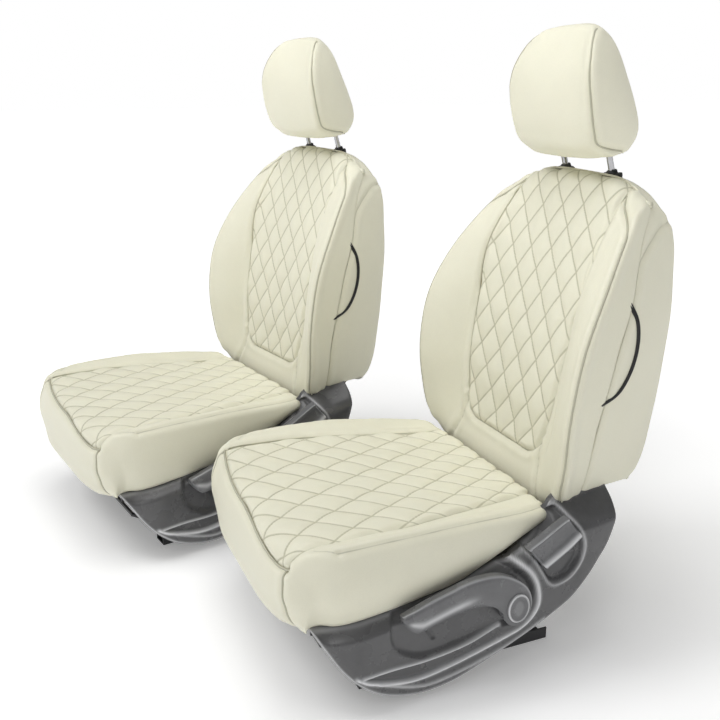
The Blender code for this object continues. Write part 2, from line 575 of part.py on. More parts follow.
def back_parts(pre):
    made = []
    # frame: rear panel, lower hinge tube and head cross member in one welding
    line = [(.100, .008), (.145, .016), (.170, .040), (.188, .080), (.204, .130), (.212, .250), (.215, .400),
            (.216, .522)]
    th = .004
    back_side = [(y + th * .9, z - th * .3) for y, z in line]
    frame = plate(f"{pre}_back_frame", line + list(reversed(back_side)), -.180, .180, STEEL)
    hinge = rod("hinge", (-.2095, RECLINE_Y, RECLINE_Z), (.2095, RECLINE_Y, RECLINE_Z), .027, STEEL, 16)
    cy, cz = post_point(-.045)
    cross = box("cross", (-.140, cy - .012, cz - .014), (.140, cy + .006, cz + .004), STEEL)
    union(frame, hinge, cross)
    cuts = [rod("h", (s * .2095 + s * .01, RECLINE_Y, RECLINE_Z), (s * .186, RECLINE_Y, RECLINE_Z),
                PIN_R + .0005, STEEL, 16) for s in (1, -1)]
    for s in (1, -1):
        p, q = post_point(-.09), post_point(.03)
        cuts.append(rod("h", (s * POST_X, *p), (s * POST_X, *q), .0092, STEEL, 16))
    made.append(("back", cut(frame, *cuts)))

    def foam(u, v, w):
        b = .17 + .76 * v
        p = back(u, b, 0.0, FOAM_IN)
        q = back(u, b, float(FOAM_DEPTH(b)), FOAM_IN)
        q[1] = min(q[1], .193)
        return p * (1 - w) + q * w

    made.append(("back", block(f"{pre}_back_foam", foam, FOAM, 4)))
    W = BACK[8]
    edge = .0016

    def q(k):
        return lambda b: k * (float(QW(b)) - edge) / float(W(b))

    cols = [(q(k), 0.0) for k in np.linspace(-1, 1, 7)]
    rows = [.204, .32, .48, .66, .80, .91, .998]
    made.append(("back", sheet(f"{pre}_back_quilt_cover", back, cols, rows, CREAM)))

    def r(k):
        return lambda b: k * (float(QW(b)) + edge) / float(W(b))

    def m(s, k):
        return lambda b: s * (k + (1 - k) * (float(QW(b)) + edge) / float(W(b)))

    def c_front(k):
        return lambda b: k * (float(SIDE_SEAM(b)) - .006)

    cols = ([(-1.0, c_front(k)) for k in (1, .5)] + [(-1.0, 0.0)] + [(m(-1, .66), 0.0), (m(-1, .33), 0.0)]
            + [(r(k), 0.0) for k in np.linspace(-1, 1, 5)]
            + [(m(1, .33), 0.0), (m(1, .66), 0.0)] + [(1.0, 0.0)] + [(1.0, c_front(k)) for k in (.5, 1)])
    rows = [.075, .13, .196, .32, .48, .66, .80, .91, .998]
    inner = range(5, 9)
    made.append(("back", sheet(f"{pre}_back_bolster_cover", back, cols, rows, CREAM,
                               keep=lambda i, j: not (i in inner and j >= 2))))

    def c_rear(k):
        return lambda b: (float(SIDE_SEAM(b)) + .006) * (1 - k) + k

    ks = (0, .5)
    cols = ([(-1.0, c_rear(k)) for k in ks] + [(a, 1.0) for a in (-1, -.8, -.45, 0, .45, .8, 1)]
            + [(1.0, c_rear(k)) for k in reversed(ks)])
    rows = [.125, .16, .20, .32, .48, .66, .80, .91, .998]
    rear = sheet(f"{pre}_back_rear_cover", back, cols, rows, CREAM)
    cutting = []
    for s in (1, -1):
        p, q2 = post_point(-.09), post_point(.03)
        cutting.append(rod("h", (s * POST_X, *p), (s * POST_X, *q2), .0105, CREAM, 12))
    made.append(("back", cut(rear, *cutting)))

    # corded edge of the side airbag opening, lying on the outer side face
    zs = np.linspace(.10, .90, 200)
    side_z = np.array([back(1.0, b, .5)[2] for b in zs])
    pts = []
    for t in np.linspace(0, 1, 10):
        y = (1 - t) ** 2 * .124 + 2 * t * (1 - t) * .190 + t * t * .068
        z = (1 - t) ** 2 * .381 + 2 * t * (1 - t) * .304 + t * t * .211
        b = float(np.interp(z, side_z, zs))
        f0, f1 = back(1.0, b, 0.0), back(1.0, b, 1.0)
        c = (y - f0[1]) / (f1[1] - f0[1])
        x = back(1.0, b, c)[0]
        pts.append((float(x) + .0042, y, z))
    made.append(("back", tube(f"{pre}_airbag_opening_cord", pts, .0034, BLACK, 1)))

    # post guides: flange on the cover, sleeve through the cross member
    for side, s in (("outer", 1), ("inner", -1)):
        p, q2 = post_point(-.072), post_point(.012)
        sleeve = rod(f"{pre}_headrest_guide_{side}", (s * POST_X, *p), (s * POST_X, *q2), .0086, BLACK, 12)
        fy, fz = post_point(.0105)
        bm = bmesh.new()
        bmesh.ops.create_cone(bm, cap_ends=True, segments=16, radius1=1, radius2=.9, depth=1)
        for v in bm.verts:
            v.co = Vector((s * POST_X + v.co.x * .0270, fy + v.co.y * .0110, fz + v.co.z * .0042))
        flange = from_bmesh("flange", bm, BLACK)
        union(sleeve, flange)
        p, q2 = post_point(-.09), post_point(.03)
        tools = [rod("h", (s * POST_X, *p), (s * POST_X, *q2), POST_R + .0005, BLACK, 12)]
        if side == "outer":     # notch that the release button slides in
            tools.append(box("notch", (POST_X + .0170, fy - .0046, fz - .004),
                             (POST_X + .0300, fy + .0046, fz + .004), BLACK))
        cut(sleeve, *tools)
        made.append(("back", sleeve))
    fy, fz = post_point(.0105)
    made.append(("headrest_button", box(f"{pre}_headrest_button", (POST_X + .0207, fy - .0040, fz - .0017),
                                        (POST_X + .0285, fy + .0040, fz + .0021), BLACK)))
    return made


def headrest_parts(pre):
    made = []

    def path(low, r_extra=0.0):
        pts = [(-POST_X, *post_point(low)), (-POST_X, *post_point(.120))]
        for t in (.25, .5, .75, 1.0):
            a = t * math.pi / 2
            pts.append((-POST_X + .012 * (1 - math.cos(a)), *post_point(.120 + .012 * math.sin(a))))
        pts += [(-x, y, z) for x, y, z in reversed(pts)]
        return pts

    made.append(("headrest", tube(f"{pre}_headrest_posts", path(-.075), POST_R, CHROME, 3)))

    def foam(u, v, w):
        b = .05 + .91 * v
        return head(u, b, w, .0095)

    f = block(f"{pre}_headrest_foam", foam, FOAM, 3)
    cut(f, tube("cavity", path(-.02), POST_R + .0010, FOAM, 2))
    made.append(("headrest", f))
    cols = ([(a, 1.0) for a in (0, .4, .75, 1.0)] + [(1.0, .5)]
            + [(a, 0.0) for a in (1.0, .75, .4, 0, -.4, -.75, -1.0)] + [(-1.0, .5)]
            + [(a, 1.0) for a in (-1.0, -.75, -.4, 0)])
    rows = [.0, .07, .20, .42, .64, .84, .94, 1.0]
    made.append(("headrest", sheet(f"{pre}_headrest_cover", head, cols, rows, CREAM, closed=True)))
    return made


def slide_bar(pre):
    """Bent bar under the cushion front that frees the sliders when lifted."""
    y0, z0 = LINK_FRONT_Y - .022, LINK_LOW_Z - .018
    pts = [(-.1858, y0, z0), (-.168, y0, z0)]
    for t in np.linspace(0, 1, 5)[1:]:
        a = t * math.pi / 2
        pts.append((-.168 + .012 * math.sin(a), y0 - .050 - .012 * t, z0 + .022 + .004 * t))
    pts += [(-x, y, z) for x, y, z in reversed(pts)]
    return [("slide_bar", tube(f"{pre}_slide_release_bar", pts, .0048, STEEL, 2))]


PIVOTS = {
    "floor": (0, 0, -BITE_HEIGHT),
    "slide": (0, 0, -BITE_HEIGHT),
    "link_front": (0, LINK_FRONT_Y, LINK_LOW_Z),
    "link_rear": (0, LINK_REAR_Y, LINK_LOW_Z),
    "cushion": (0, LINK_REAR_Y + LINK * math.cos(math.radians(LINK_REST)),
                LINK_LOW_Z + LINK * math.sin(math.radians(LINK_REST))),
    "height_lever": (TRIM_X1, LEVER_Y, LEVER_Z),
    "recline_lever": (TRIM_X1, PADDLE_Y, PADDLE_Z),
    "back": (0, RECLINE_Y, RECLINE_Z),
    "headrest": (0, POST_Y, POST_Z),
    "headrest_button": (POST_X + .0285, *post_point(.0105)),
    "slide_bar": (0, LINK_FRONT_Y - .022, LINK_LOW_Z - .018),
}


def build_seat(pre, x, y, turn):
    place = Matrix.Translation((x, y, BITE_HEIGHT)) @ Matrix.Rotation(math.radians(turn), 4, "Z")
    made = rails(pre)
    made.append(("link_front", link_frame(pre, "front", LINK_FRONT_Y)))
    made.append(("link_rear", link_frame(pre, "rear", LINK_REAR_Y)))
    cushion_made, _ = cushion_parts(pre)
    made += cushion_made + trims(pre) + levers(pre) + back_parts(pre) + headrest_parts(pre) + slide_bar(pre)
    empties = {}
    for body, ob in made:
        pivot = Vector(PIVOTS[body])
        if body not in empties:
            e = bpy.data.objects.new(f"{pre}_{body}_axis", None)
            e.empty_display_size = .03
            parts.objects.link(e)
            e.matrix_world = place @ Matrix.Translation(pivot)
            empties[body] = e
        ob.data.transform(Matrix.Translation(-pivot))
        ob.parent = empties[body]
        ob.matrix_parent_inverse = Matrix.Identity(4)


for seat in SEATS:
    build_seat(*seat)
bpy.context.view_layer.update()
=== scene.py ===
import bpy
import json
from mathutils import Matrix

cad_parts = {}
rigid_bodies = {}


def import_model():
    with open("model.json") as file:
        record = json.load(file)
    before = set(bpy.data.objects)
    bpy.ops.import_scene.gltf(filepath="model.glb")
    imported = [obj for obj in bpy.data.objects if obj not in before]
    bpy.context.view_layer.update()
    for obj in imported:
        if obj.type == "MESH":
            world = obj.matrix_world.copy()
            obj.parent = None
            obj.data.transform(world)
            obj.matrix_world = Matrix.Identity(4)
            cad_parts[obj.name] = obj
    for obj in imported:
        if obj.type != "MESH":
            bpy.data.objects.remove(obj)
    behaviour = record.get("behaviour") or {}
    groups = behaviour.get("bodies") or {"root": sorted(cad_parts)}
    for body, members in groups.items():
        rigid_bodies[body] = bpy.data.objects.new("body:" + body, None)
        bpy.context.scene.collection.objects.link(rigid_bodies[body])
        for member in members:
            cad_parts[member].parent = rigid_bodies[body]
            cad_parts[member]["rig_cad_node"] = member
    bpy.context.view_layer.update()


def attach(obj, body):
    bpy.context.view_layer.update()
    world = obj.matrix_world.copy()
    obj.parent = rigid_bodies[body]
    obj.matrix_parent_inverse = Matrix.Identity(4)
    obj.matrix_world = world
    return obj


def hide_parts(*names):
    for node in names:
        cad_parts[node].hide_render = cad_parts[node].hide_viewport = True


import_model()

import json
import math

import bmesh
import bpy
import numpy as np
from mathutils import Matrix, Vector

# ------------------------------------------------------------------ layout, as in the CAD
BITE = 0.262
SEATS = (("left", 0.3407, 0.260, 0.0), ("right", -0.3503, 0.012, 10.0))
TRIM_X1 = 0.2865
POST_X, POST_Y, POST_Z, POST_LEAN = 0.070, 0.2105, 0.572, 17.0
LEVER = (-0.100, -0.111)


def spline(xs, ys):
    """Smooth curve through (xs, ys), used for every profile below."""
    xs = np.asarray(xs, float)
    ys = np.asarray(ys, float)
    h = np.diff(xs)
    d = np.diff(ys) / h
    m = np.empty_like(ys)
    m[0], m[-1] = d[0], d[-1]
    m[1:-1] = (d[:-1] * h[1:] + d[1:] * h[:-1]) / (h[:-1] + h[1:])

    def f(t):
        t = np.clip(np.asarray(t, float), xs[0], xs[-1])
        i = np.clip(np.searchsorted(xs, t, side="right") - 1, 0, len(xs) - 2)
        w = xs[i + 1] - xs[i]
        u = (t - xs[i]) / w
        return ((2 * u**3 - 3 * u**2 + 1) * ys[i] + (u**3 - 2 * u**2 + u) * w * m[i]
                + (3 * u**2 - 2 * u**3) * ys[i + 1] + (u**3 - u**2) * w * m[i + 1])

    return f


def table(rows):
    cols = list(zip(*rows))
    return [spline(cols[0], c) for c in cols[1:]]


# ---------------- backrest: b runs from the bottom arc to the top edge
# b, front centre y z, front side y z, rear centre y z, rear side y z, half width front, rear
BACK_ROWS = [
 (0.00, .070,-.056, .070,.032, .100,-.053, .100,.032, .232, .225),
 (0.04, .040,-.036, .045,.033, .125,-.028, .125,.034, .234, .228),
 (0.08, .026, .000, .022,.035, .150, .004, .148,.040, .238, .231),
 (0.12, .030, .030, .015,.044, .188, .016, .172,.046, .246, .230),
 (0.16, .041, .060, .010,.064, .212, .034, .192,.058, .254, .229),
 (0.20, .049, .091, .008,.091, .224, .064, .206,.080, .262, .227),
 (0.34, .061, .181, .003,.181, .243, .172, .228,.172, .274, .224),
 (0.52, .082, .302, .020,.300, .252, .300, .242,.300, .274, .224),
 (0.70, .112, .416, .072,.406, .257, .412, .247,.403, .254, .220),
 (0.86, .149, .512, .140,.498, .256, .500, .246,.484, .217, .207),
 (0.93, .164, .546, .166,.521, .246, .540, .236,.510, .203, .198),
 (0.97, .178, .567, .184,.533, .230, .564, .222,.528, .194, .190),
 (1.00, .198, .577, .198,.538, .206, .577, .205,.537, .182, .178),
]
BACK = table(BACK_ROWS)
QW = spline([0,.08,.2,.34,.52,.70,.86,1.0],[.128,.130,.134,.149,.158,.167,.158,.150])  # quilt half width

def back(a, b, c, off=0.0):
    a = np.asarray(a, float); b = np.asarray(b, float); c = np.asarray(c, float)
    fcy, fcz, fsy, fsz, rcy, rcz, rsy, rsz, wf, wr = [f(b) for f in BACK]
    s = np.abs(a)
    aq = .60
    t = np.clip((s - aq) / (1 - aq), 0, 1)
    h = np.where(s < aq, .14 * (s / aq) ** 2, .14 + .86 * (1 - (1 - t) ** 1.9))
    k = np.where(b < .3, 6.0, 4.0)
    z4 = s ** k
    fy = fcy + (fsy - fcy) * h
    fz = fcz + (fsz - fcz) * z4
    ry = rcy + (rsy - rcy) * s ** 3
    rz = rcz + (rsz - rcz) * z4
    x = a * ((wf - off) * (1 - c) + (wr - off) * c) + np.sign(a) * s ** 10 * .012 * np.sin(np.pi * c) * np.sin(np.pi * b) ** 2
    y = (fy + off) * (1 - c) + (ry - off) * c
    z = fz * (1 - c) + rz * c + off * np.cos(np.pi * b)
    return np.stack(np.broadcast_arrays(x, y, z), -1)

# ---------------- cushion: b runs from the bite over the top and down the front
CUSH_ROWS = [
 # b, top centre y z, top side y z, bottom centre y z, bottom side y z, half width
 (0.00, .020,-.035,  .003,-.004,  .012,-.048,  .000,-.014, .205),
 (0.03, .018, .006,  .002, .012,  .004,-.050, -.008,-.012, .216),
 (0.06, .006, .019, -.004, .024, -.010,-.052, -.018,-.006, .226),
 (0.12,-.040, .021, -.040, .031, -.040,-.056, -.050,-.014, .240),
 (0.30,-.170, .027, -.170, .045, -.170,-.068, -.175,-.056, .260),
 (0.50,-.300, .032, -.295, .050, -.300,-.082, -.300,-.077, .269),
 (0.65,-.400, .032, -.390, .047, -.400,-.095, -.385,-.088, .266),
 (0.75,-.455, .030, -.438, .042, -.432,-.102, -.420,-.092, .258),
 (0.80,-.480, .026, -.456, .036, -.445,-.105, -.430,-.093, .252),
 (0.84,-.496, .017, -.470, .026, -.453,-.108, -.438,-.095, .246),
 (0.88,-.507,-.002, -.482, .008, -.460,-.111, -.443,-.097, .243),
 (0.92,-.513,-.034, -.494,-.022, -.465,-.114, -.448,-.099, .241),
 (0.96,-.511,-.072, -.493,-.058, -.470,-.117, -.453,-.101, .239),
 (0.985,-.500,-.104,-.483,-.088, -.474,-.119, -.457,-.103, .236),
 (1.00,-.486,-.120, -.470,-.104, -.476,-.122, -.460,-.105, .232),
]
CUSH = table(CUSH_ROWS)
CQ = spline([0,.12,.3,.5,.75,.84,1],[.160,.172,.197,.217,.222,.222,.215])

def cushion(a, b, c, off=0.0):
    a = np.asarray(a, float); b = np.asarray(b, float); c = np.asarray(c, float)
    tcy, tcz, tsy, tsz, bcy, bcz, bsy, bsz, w = [f(b) for f in CUSH]
    s = np.abs(a)
    aq = .80
    t = np.clip((s - aq) / (1 - aq), 0, 1)
    h = np.where(s < aq, .10 * (s / aq) ** 2, .10 + .90 * np.sin(t * np.pi / 2) ** 1.3)
    z4 = s ** 4
    ty = tcy + (tsy - tcy) * z4
    tz = tcz + (tsz - tcz) * h
    by = bcy + (bsy - bcy) * z4
    bz = bcz + (bsz - bcz) * s ** 6
    x = a * (w - off) + np.sign(a) * s ** 10 * .016 * np.sin(np.pi * c)
    fr = np.clip((b - .8) / .2, 0, 1)
    y = ty * (1 - c) + by * c + off * (fr - np.clip(1 - b / .06, 0, 1)) * (1 - c)
    z = (tz - off * np.clip(1 - fr, 0, 1)) * (1 - c) + (bz + off) * c
    return np.stack(np.broadcast_arrays(x, y, z), -1)

# ---------------- headrest
HEAD_ROWS = [
 # b, front centre y z, front side y z, rear centre y z, rear side y z, half width front, rear
 (0.00, .180, .603, .184, .606, .216, .610, .212, .612, .112, .104),
 (0.06, .148, .597, .160, .605, .224, .616, .216, .619, .118, .108),
 (0.14, .126, .609, .136, .621, .231, .628, .223, .634, .122, .112),
 (0.30, .112, .646, .118, .652, .235, .656, .227, .660, .127, .115),
 (0.50, .108, .695, .106, .698, .225, .698, .216, .700, .128, .113),
 (0.70, .113, .747, .101, .750, .205, .748, .195, .750, .122, .107),
 (0.86, .124, .793, .108, .790, .183, .793, .175, .788, .107, .094),
 (0.94, .134, .817, .118, .810, .169, .818, .162, .808, .092, .082),
 (0.98, .143, .829, .128, .822, .159, .830, .151, .819, .078, .072),
 (1.00, .151, .834, .140, .826, .151, .834, .140, .826, .064, .064),
]
HEAD = table(HEAD_ROWS)

def head(a, b, c, off=0.0):
    a = np.asarray(a, float); b = np.asarray(b, float); c = np.asarray(c, float)
    fcy, fcz, fsy, fsz, rcy, rcz, rsy, rsz, wf, wr = [f(b) for f in HEAD]
    s = np.abs(a)
    fy = fcy + (fsy - fcy) * s ** 3
    fz = fcz + (fsz - fcz) * s ** 4
    ry = rcy + (rsy - rcy) * s ** 3
    rz = rcz + (rsz - rcz) * s ** 4
    x = a * ((wf - off) * (1 - c) + (wr - off) * c) + np.sign(a) * s ** 8 * .010 * np.sin(np.pi * c) * np.sin(np.pi * b)
    y = (fy + off) * (1 - c) + (ry - off) * c
    z = fz * (1 - c) + rz * c + off * np.cos(np.pi * b)
    return np.stack(np.broadcast_arrays(x, y, z), -1)


SIDE_SEAM = spline([0, .12, .22, .36, .52, .69, .76, .84, .90, 1.0],
                   [.30, .28, .255, .29, .34, .365, .33, .28, .30, .32])

FOAM_DEPTH = spline([0, .12, .34, .52, .70, .86, .93, 1.0], [.80, .74, .64, .60, .52, .38, .30, .2])


def smooth(e0, e1, x):
    t = np.clip((np.asarray(x, float) - e0) / (e1 - e0), 0, 1)
    return t * t * (3 - 2 * t)


def post_point(s):
    t = math.radians(POST_LEAN)
    return POST_Y - s * math.sin(t), POST_Z + s * math.cos(t)


# ------------------------------------------------------------------ mesh making
class Surf:
    """Patches of quads welded to one surface, with named per-point values."""

    def __init__(self):
        self.V, self.F, self.A, self.n = [], [], {}, 0

    def patch(self, P, flip=False, **attrs):
        nb, na = P.shape[:2]
        idx = np.arange(nb * na).reshape(nb, na) + self.n
        q = np.stack([idx[:-1, :-1], idx[:-1, 1:], idx[1:, 1:], idx[1:, :-1]], -1).reshape(-1, 4)
        if flip:
            q = q[:, ::-1]
        self.F.append(q)
        self.V.append(P.reshape(-1, 3))
        for k, v in attrs.items():
            v = np.broadcast_to(v, (nb, na) + np.shape(v)[2:]) if np.ndim(v) < 2 else v
            self.A.setdefault(k, []).append((self.n, v.reshape(nb * na, -1)))
        self.n += nb * na
        return self

    def weld(self, tol=2e-5):
        V = np.concatenate(self.V)
        F = np.concatenate(self.F)
        key = np.round(V / tol).astype(np.int64)
        _, first, inv = np.unique(key, axis=0, return_index=True, return_inverse=True)
        inv = inv.reshape(-1)
        self.V, F = V[first], inv[F]
        A = {}
        for k, lst in self.A.items():
            full = np.zeros((len(V), lst[0][1].shape[1]))
            for n0, v in lst:
                full[n0:n0 + len(v)] = v
            A[k] = full[first]
        self.A = A
        same = np.stack([F[:, i] == F[:, (i + 1) % 4] for i in range(4)], 1)
        bad = same.sum(1)
        self.quads = F[bad == 0]
        tri = F[bad == 1]
        ts = same[bad == 1]
        if len(tri):
            out = []
            for f, s in zip(tri, ts):
                k = int(np.argmax(s))
                out.append([f[j] for j in range(4) if j != k])
            self.tris = np.array(out)
        else:
            self.tris = np.zeros((0, 3), int)
        return self

    def normals(self):
        N = np.zeros_like(self.V)
        q = self.quads
        n = np.cross(self.V[q[:, 2]] - self.V[q[:, 0]], self.V[q[:, 3]] - self.V[q[:, 1]])
        for i in range(4):
            np.add.at(N, q[:, i], n)
        t = self.tris
        if len(t):
            n = np.cross(self.V[t[:, 1]] - self.V[t[:, 0]], self.V[t[:, 2]] - self.V[t[:, 0]])
            for i in range(3):
                np.add.at(N, t[:, i], n)
        return N / np.maximum(np.linalg.norm(N, axis=1, keepdims=True), 1e-12)

    def displace(self, h, N=None):
        N = self.normals() if N is None else N
        self.V = self.V + N * np.reshape(h, (-1, 1))
        return self

    def relax(self, w, n=10, lam=.5):
        """Rounds the surface where w is above 0, by n steps of averaging."""
        q = self.quads
        e = np.concatenate([q[:, [0, 1]], q[:, [1, 2]], q[:, [2, 3]], q[:, [3, 0]]])
        if len(self.tris):
            t = self.tris
            e = np.concatenate([e, t[:, [0, 1]], t[:, [1, 2]], t[:, [2, 0]]])
        e = np.unique(np.sort(e, axis=1), axis=0)
        cnt = np.bincount(e.ravel(), minlength=len(self.V)).astype(float)
        # border points stay
        ee, c = np.unique(np.sort(np.concatenate([q[:, [0, 1]], q[:, [1, 2]], q[:, [2, 3]], q[:, [3, 0]]]
                                                 + ([self.tris[:, [0, 1]], self.tris[:, [1, 2]], self.tris[:, [2, 0]]]
                                                    if len(self.tris) else [])), axis=1), axis=0, return_counts=True)
        border = np.zeros(len(self.V), bool)
        border[ee[c == 1].ravel()] = True
        w = np.where(border, 0, np.reshape(w, -1))[:, None] * lam
        for _ in range(n):
            S = np.zeros_like(self.V)
            np.add.at(S, e[:, 0], self.V[e[:, 1]])
            np.add.at(S, e[:, 1], self.V[e[:, 0]])
            self.V = self.V + w * (S / cnt[:, None] - self.V)
        return self


def raw_mesh(name, V, quads, tris=(), attrs=None, uv=None):
    me = bpy.data.meshes.new(name)
    quads = np.asarray(quads, np.int32).reshape(-1, 4)
    tris = np.asarray(tris, np.int32).reshape(-1, 3)
    loops = np.concatenate([quads.ravel(), tris.ravel()])
    sizes = np.concatenate([np.full(len(quads), 4), np.full(len(tris), 3)]).astype(np.int32)
    me.vertices.add(len(V))
    me.vertices.foreach_set("co", np.asarray(V, np.float32).ravel())
    me.loops.add(len(loops))
    me.loops.foreach_set("vertex_index", loops.astype(np.int32))
    me.polygons.add(len(sizes))
    me.polygons.foreach_set("loop_start", np.concatenate([[0], np.cumsum(sizes)[:-1]]).astype(np.int32))
    me.polygons.foreach_set("loop_total", sizes)
    me.update(calc_edges=True)
    for k, v in (attrs or {}).items():
        if v.shape[1] == 3:
            a = me.attributes.new(k, "FLOAT_VECTOR", "POINT")
            a.data.foreach_set("vector", np.asarray(v, np.float32).ravel())
        else:
            a = me.attributes.new(k, "FLOAT", "POINT")
            a.data.foreach_set("value", np.asarray(v, np.float32).ravel())
    me.validate()
    me.shade_smooth()
    return me


PLACES = {pre: Matrix.Translation((x, y, BITE)) @ Matrix.Rotation(math.radians(t), 4, "Z")
          for pre, x, y, t in SEATS}


def place(name, me, body, mat, nodes=(), local=True, sharp=None):
    """One piece for each seat, from one mesh in the seat frame."""
    made = []
    me.materials.clear()
    me.materials.append(mat)
    if sharp:
        me.set_sharp_from_angle(angle=math.radians(sharp))
    for pre, *_ in SEATS:
        m = me.copy()
        m.transform(PLACES[pre])
        ob = bpy.data.objects.new(f"{pre}_{name}", m)
        bpy.context.scene.collection.objects.link(ob)
        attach(ob, f"{pre}_{body}" if body != "floor_rails" else body)
        if nodes:
            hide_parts(*[f"{pre}_{n}" for n in nodes])
        made.append(ob)
    bpy.data.meshes.remove(me)
    return made


def surf_piece(name, s, body, mat, nodes=()):
    me = raw_mesh(name, s.V, s.quads, s.tris, s.A)
    return place(name, me, body, mat, nodes)


def dist_to(V, line):
    """Distance from each point of V to a polyline, and how far along it the nearest point is."""
    line = np.asarray(line, float)
    best = np.full(len(V), 9.0)
    along = np.zeros(len(V))
    L = np.concatenate([[0], np.cumsum(np.linalg.norm(np.diff(line, axis=0), axis=1))])
    for k in range(len(line) - 1):
        a, b = line[k], line[k + 1]
        ab = b - a
        t = np.clip(((V - a) @ ab) / max(ab @ ab, 1e-12), 0, 1)
        d = np.linalg.norm(V - (a + t[:, None] * ab), axis=1)
        m = d < best
        best = np.where(m, d, best)
        along = np.where(m, L[k] + t * (L[k + 1] - L[k]), along)
    return best, along


def wob(s, seed, scale):
    """A repeatable gentle noise along a length."""
    r = np.random.RandomState(seed)
    out = 0
    for k in range(5):
        out = out + np.sin(s * 2 * np.pi / (scale * r.uniform(.6, 1.9)) + r.uniform(0, 6.28)) * r.uniform(.5, 1)
    return out / 3.0


def wob3(V, seed, scale):
    r = np.random.RandomState(seed)
    out = np.zeros(len(V))
    for k in range(7):
        dr = r.normal(size=3)
        dr /= np.linalg.norm(dr)
        out += np.sin(V @ dr * 2 * np.pi / (scale * r.uniform(.7, 1.8)) + r.uniform(0, 6.28))
    return out / 3.5


def tube_mesh(name, line, r, sides=8, closed=False, flat=1.0):
    """A tube of radius r along a polyline; caps are rounded in by a last small ring."""
    P = np.asarray(line, float)
    n = len(P)
    T = np.gradient(P, axis=0)
    T /= np.linalg.norm(T, axis=1, keepdims=True)
    ref = np.array([1.0, 0.3, .2]) if abs(T[0] @ np.array([0, 0, 1.0])) > .9 else np.array([0, 0, 1.0])
    u = np.cross(T[0], ref)
    u /= np.linalg.norm(u)
    U = []
    for k in range(n):
        u = u - T[k] * (u @ T[k])
        u /= np.linalg.norm(u)
        U.append(u)
    U = np.array(U)
    W = np.cross(T, U)
    ang = np.linspace(0, 2 * np.pi, sides + 1)[:-1]
    rr = np.full(n, r)
    if not closed:
        P = np.vstack([P[:1] - T[:1] * r * .5, P, P[-1:] + T[-1:] * r * .5])
        U = np.vstack([U[:1], U, U[-1:]])
        W = np.vstack([W[:1], W, W[-1:]])
        rr = np.concatenate([[r * .35], rr, [r * .35]])
        n += 2
    V = P[:, None] + rr[:, None, None] * (np.cos(ang)[None, :, None] * U[:, None]
                                          + flat * np.sin(ang)[None, :, None] * W[:, None])
    V = V.reshape(-1, 3)
    i = np.arange(n - 1)[:, None] * sides
    j = np.arange(sides)[None]
    k = (np.arange(sides)[None] + 1) % sides
    q = np.stack([i + j, i + k, i + sides + k, i + sides + j], -1).reshape(-1, 4)
    tris = []
    if not closed:
        c0, c1 = len(V), len(V) + 1
        V = np.vstack([V, P[:1], P[-1:]])
        for a in range(sides):
            b = (a + 1) % sides
            tris.append((c0, b, a))
            tris.append((c1, (n - 1) * sides + a, (n - 1) * sides + b))
    return V, q, np.array(tris, int).reshape(-1, 3)


def join_raw(name, parts):
    Vs, Qs, Ts, n = [], [], [], 0
    for V, Q, T in parts:
        Vs.append(V)
        Qs.append(np.asarray(Q).reshape(-1, 4) + n)
        Ts.append(np.asarray(T).reshape(-1, 3) + n)
        n += len(V)
    return raw_mesh(name, np.concatenate(Vs), np.concatenate(Qs), np.concatenate(Ts))


# ------------------------------------------------------------------ materials
class G:
    """Small helper to wire a node material."""

    def __init__(self, name):
        self.m = bpy.data.materials.new(name)
        self.m.use_nodes = True
        self.t = self.m.node_tree
        self.b = self.t.nodes["Principled BSDF"]

    def n(self, kind, **kw):
        nd = self.t.nodes.new(kind)
        for k, v in kw.items():
            if k in nd.inputs:
                nd.inputs[k].default_value = v
            else:
                setattr(nd, k, v)
        return nd

    def link(self, a, b):
        self.t.links.new(a, b)

    def math(self, op, a, b=None, clamp=False):
        nd = self.t.nodes.new("ShaderNodeMath")
        nd.operation = op
        nd.use_clamp = clamp
        for i, v in enumerate((a, b)):
            if v is None:
                continue
            if isinstance(v, (int, float)):
                nd.inputs[i].default_value = v
            else:
                self.link(v, nd.inputs[i])
        return nd.outputs[0]

    def mix(self, fac, a, b):
        nd = self.t.nodes.new("ShaderNodeMix")
        nd.data_type = "RGBA"
        for sock, v in ((nd.inputs[0], fac), (nd.inputs[6], a), (nd.inputs[7], b)):
            if isinstance(v, (int, float)):
                sock.default_value = v
            elif isinstance(v, tuple):
                sock.default_value = v
            else:
                self.link(v, sock)
        return nd.outputs[2]

    def ramp(self, v, lo, hi, a=0.0, b=1.0):
        nd = self.t.nodes.new("ShaderNodeMapRange")
        nd.inputs["From Min"].default_value = lo
        nd.inputs["From Max"].default_value = hi
        nd.inputs["To Min"].default_value = a
        nd.inputs["To Max"].default_value = b
        self.link(v, nd.inputs["Value"])
        return nd.outputs[0]


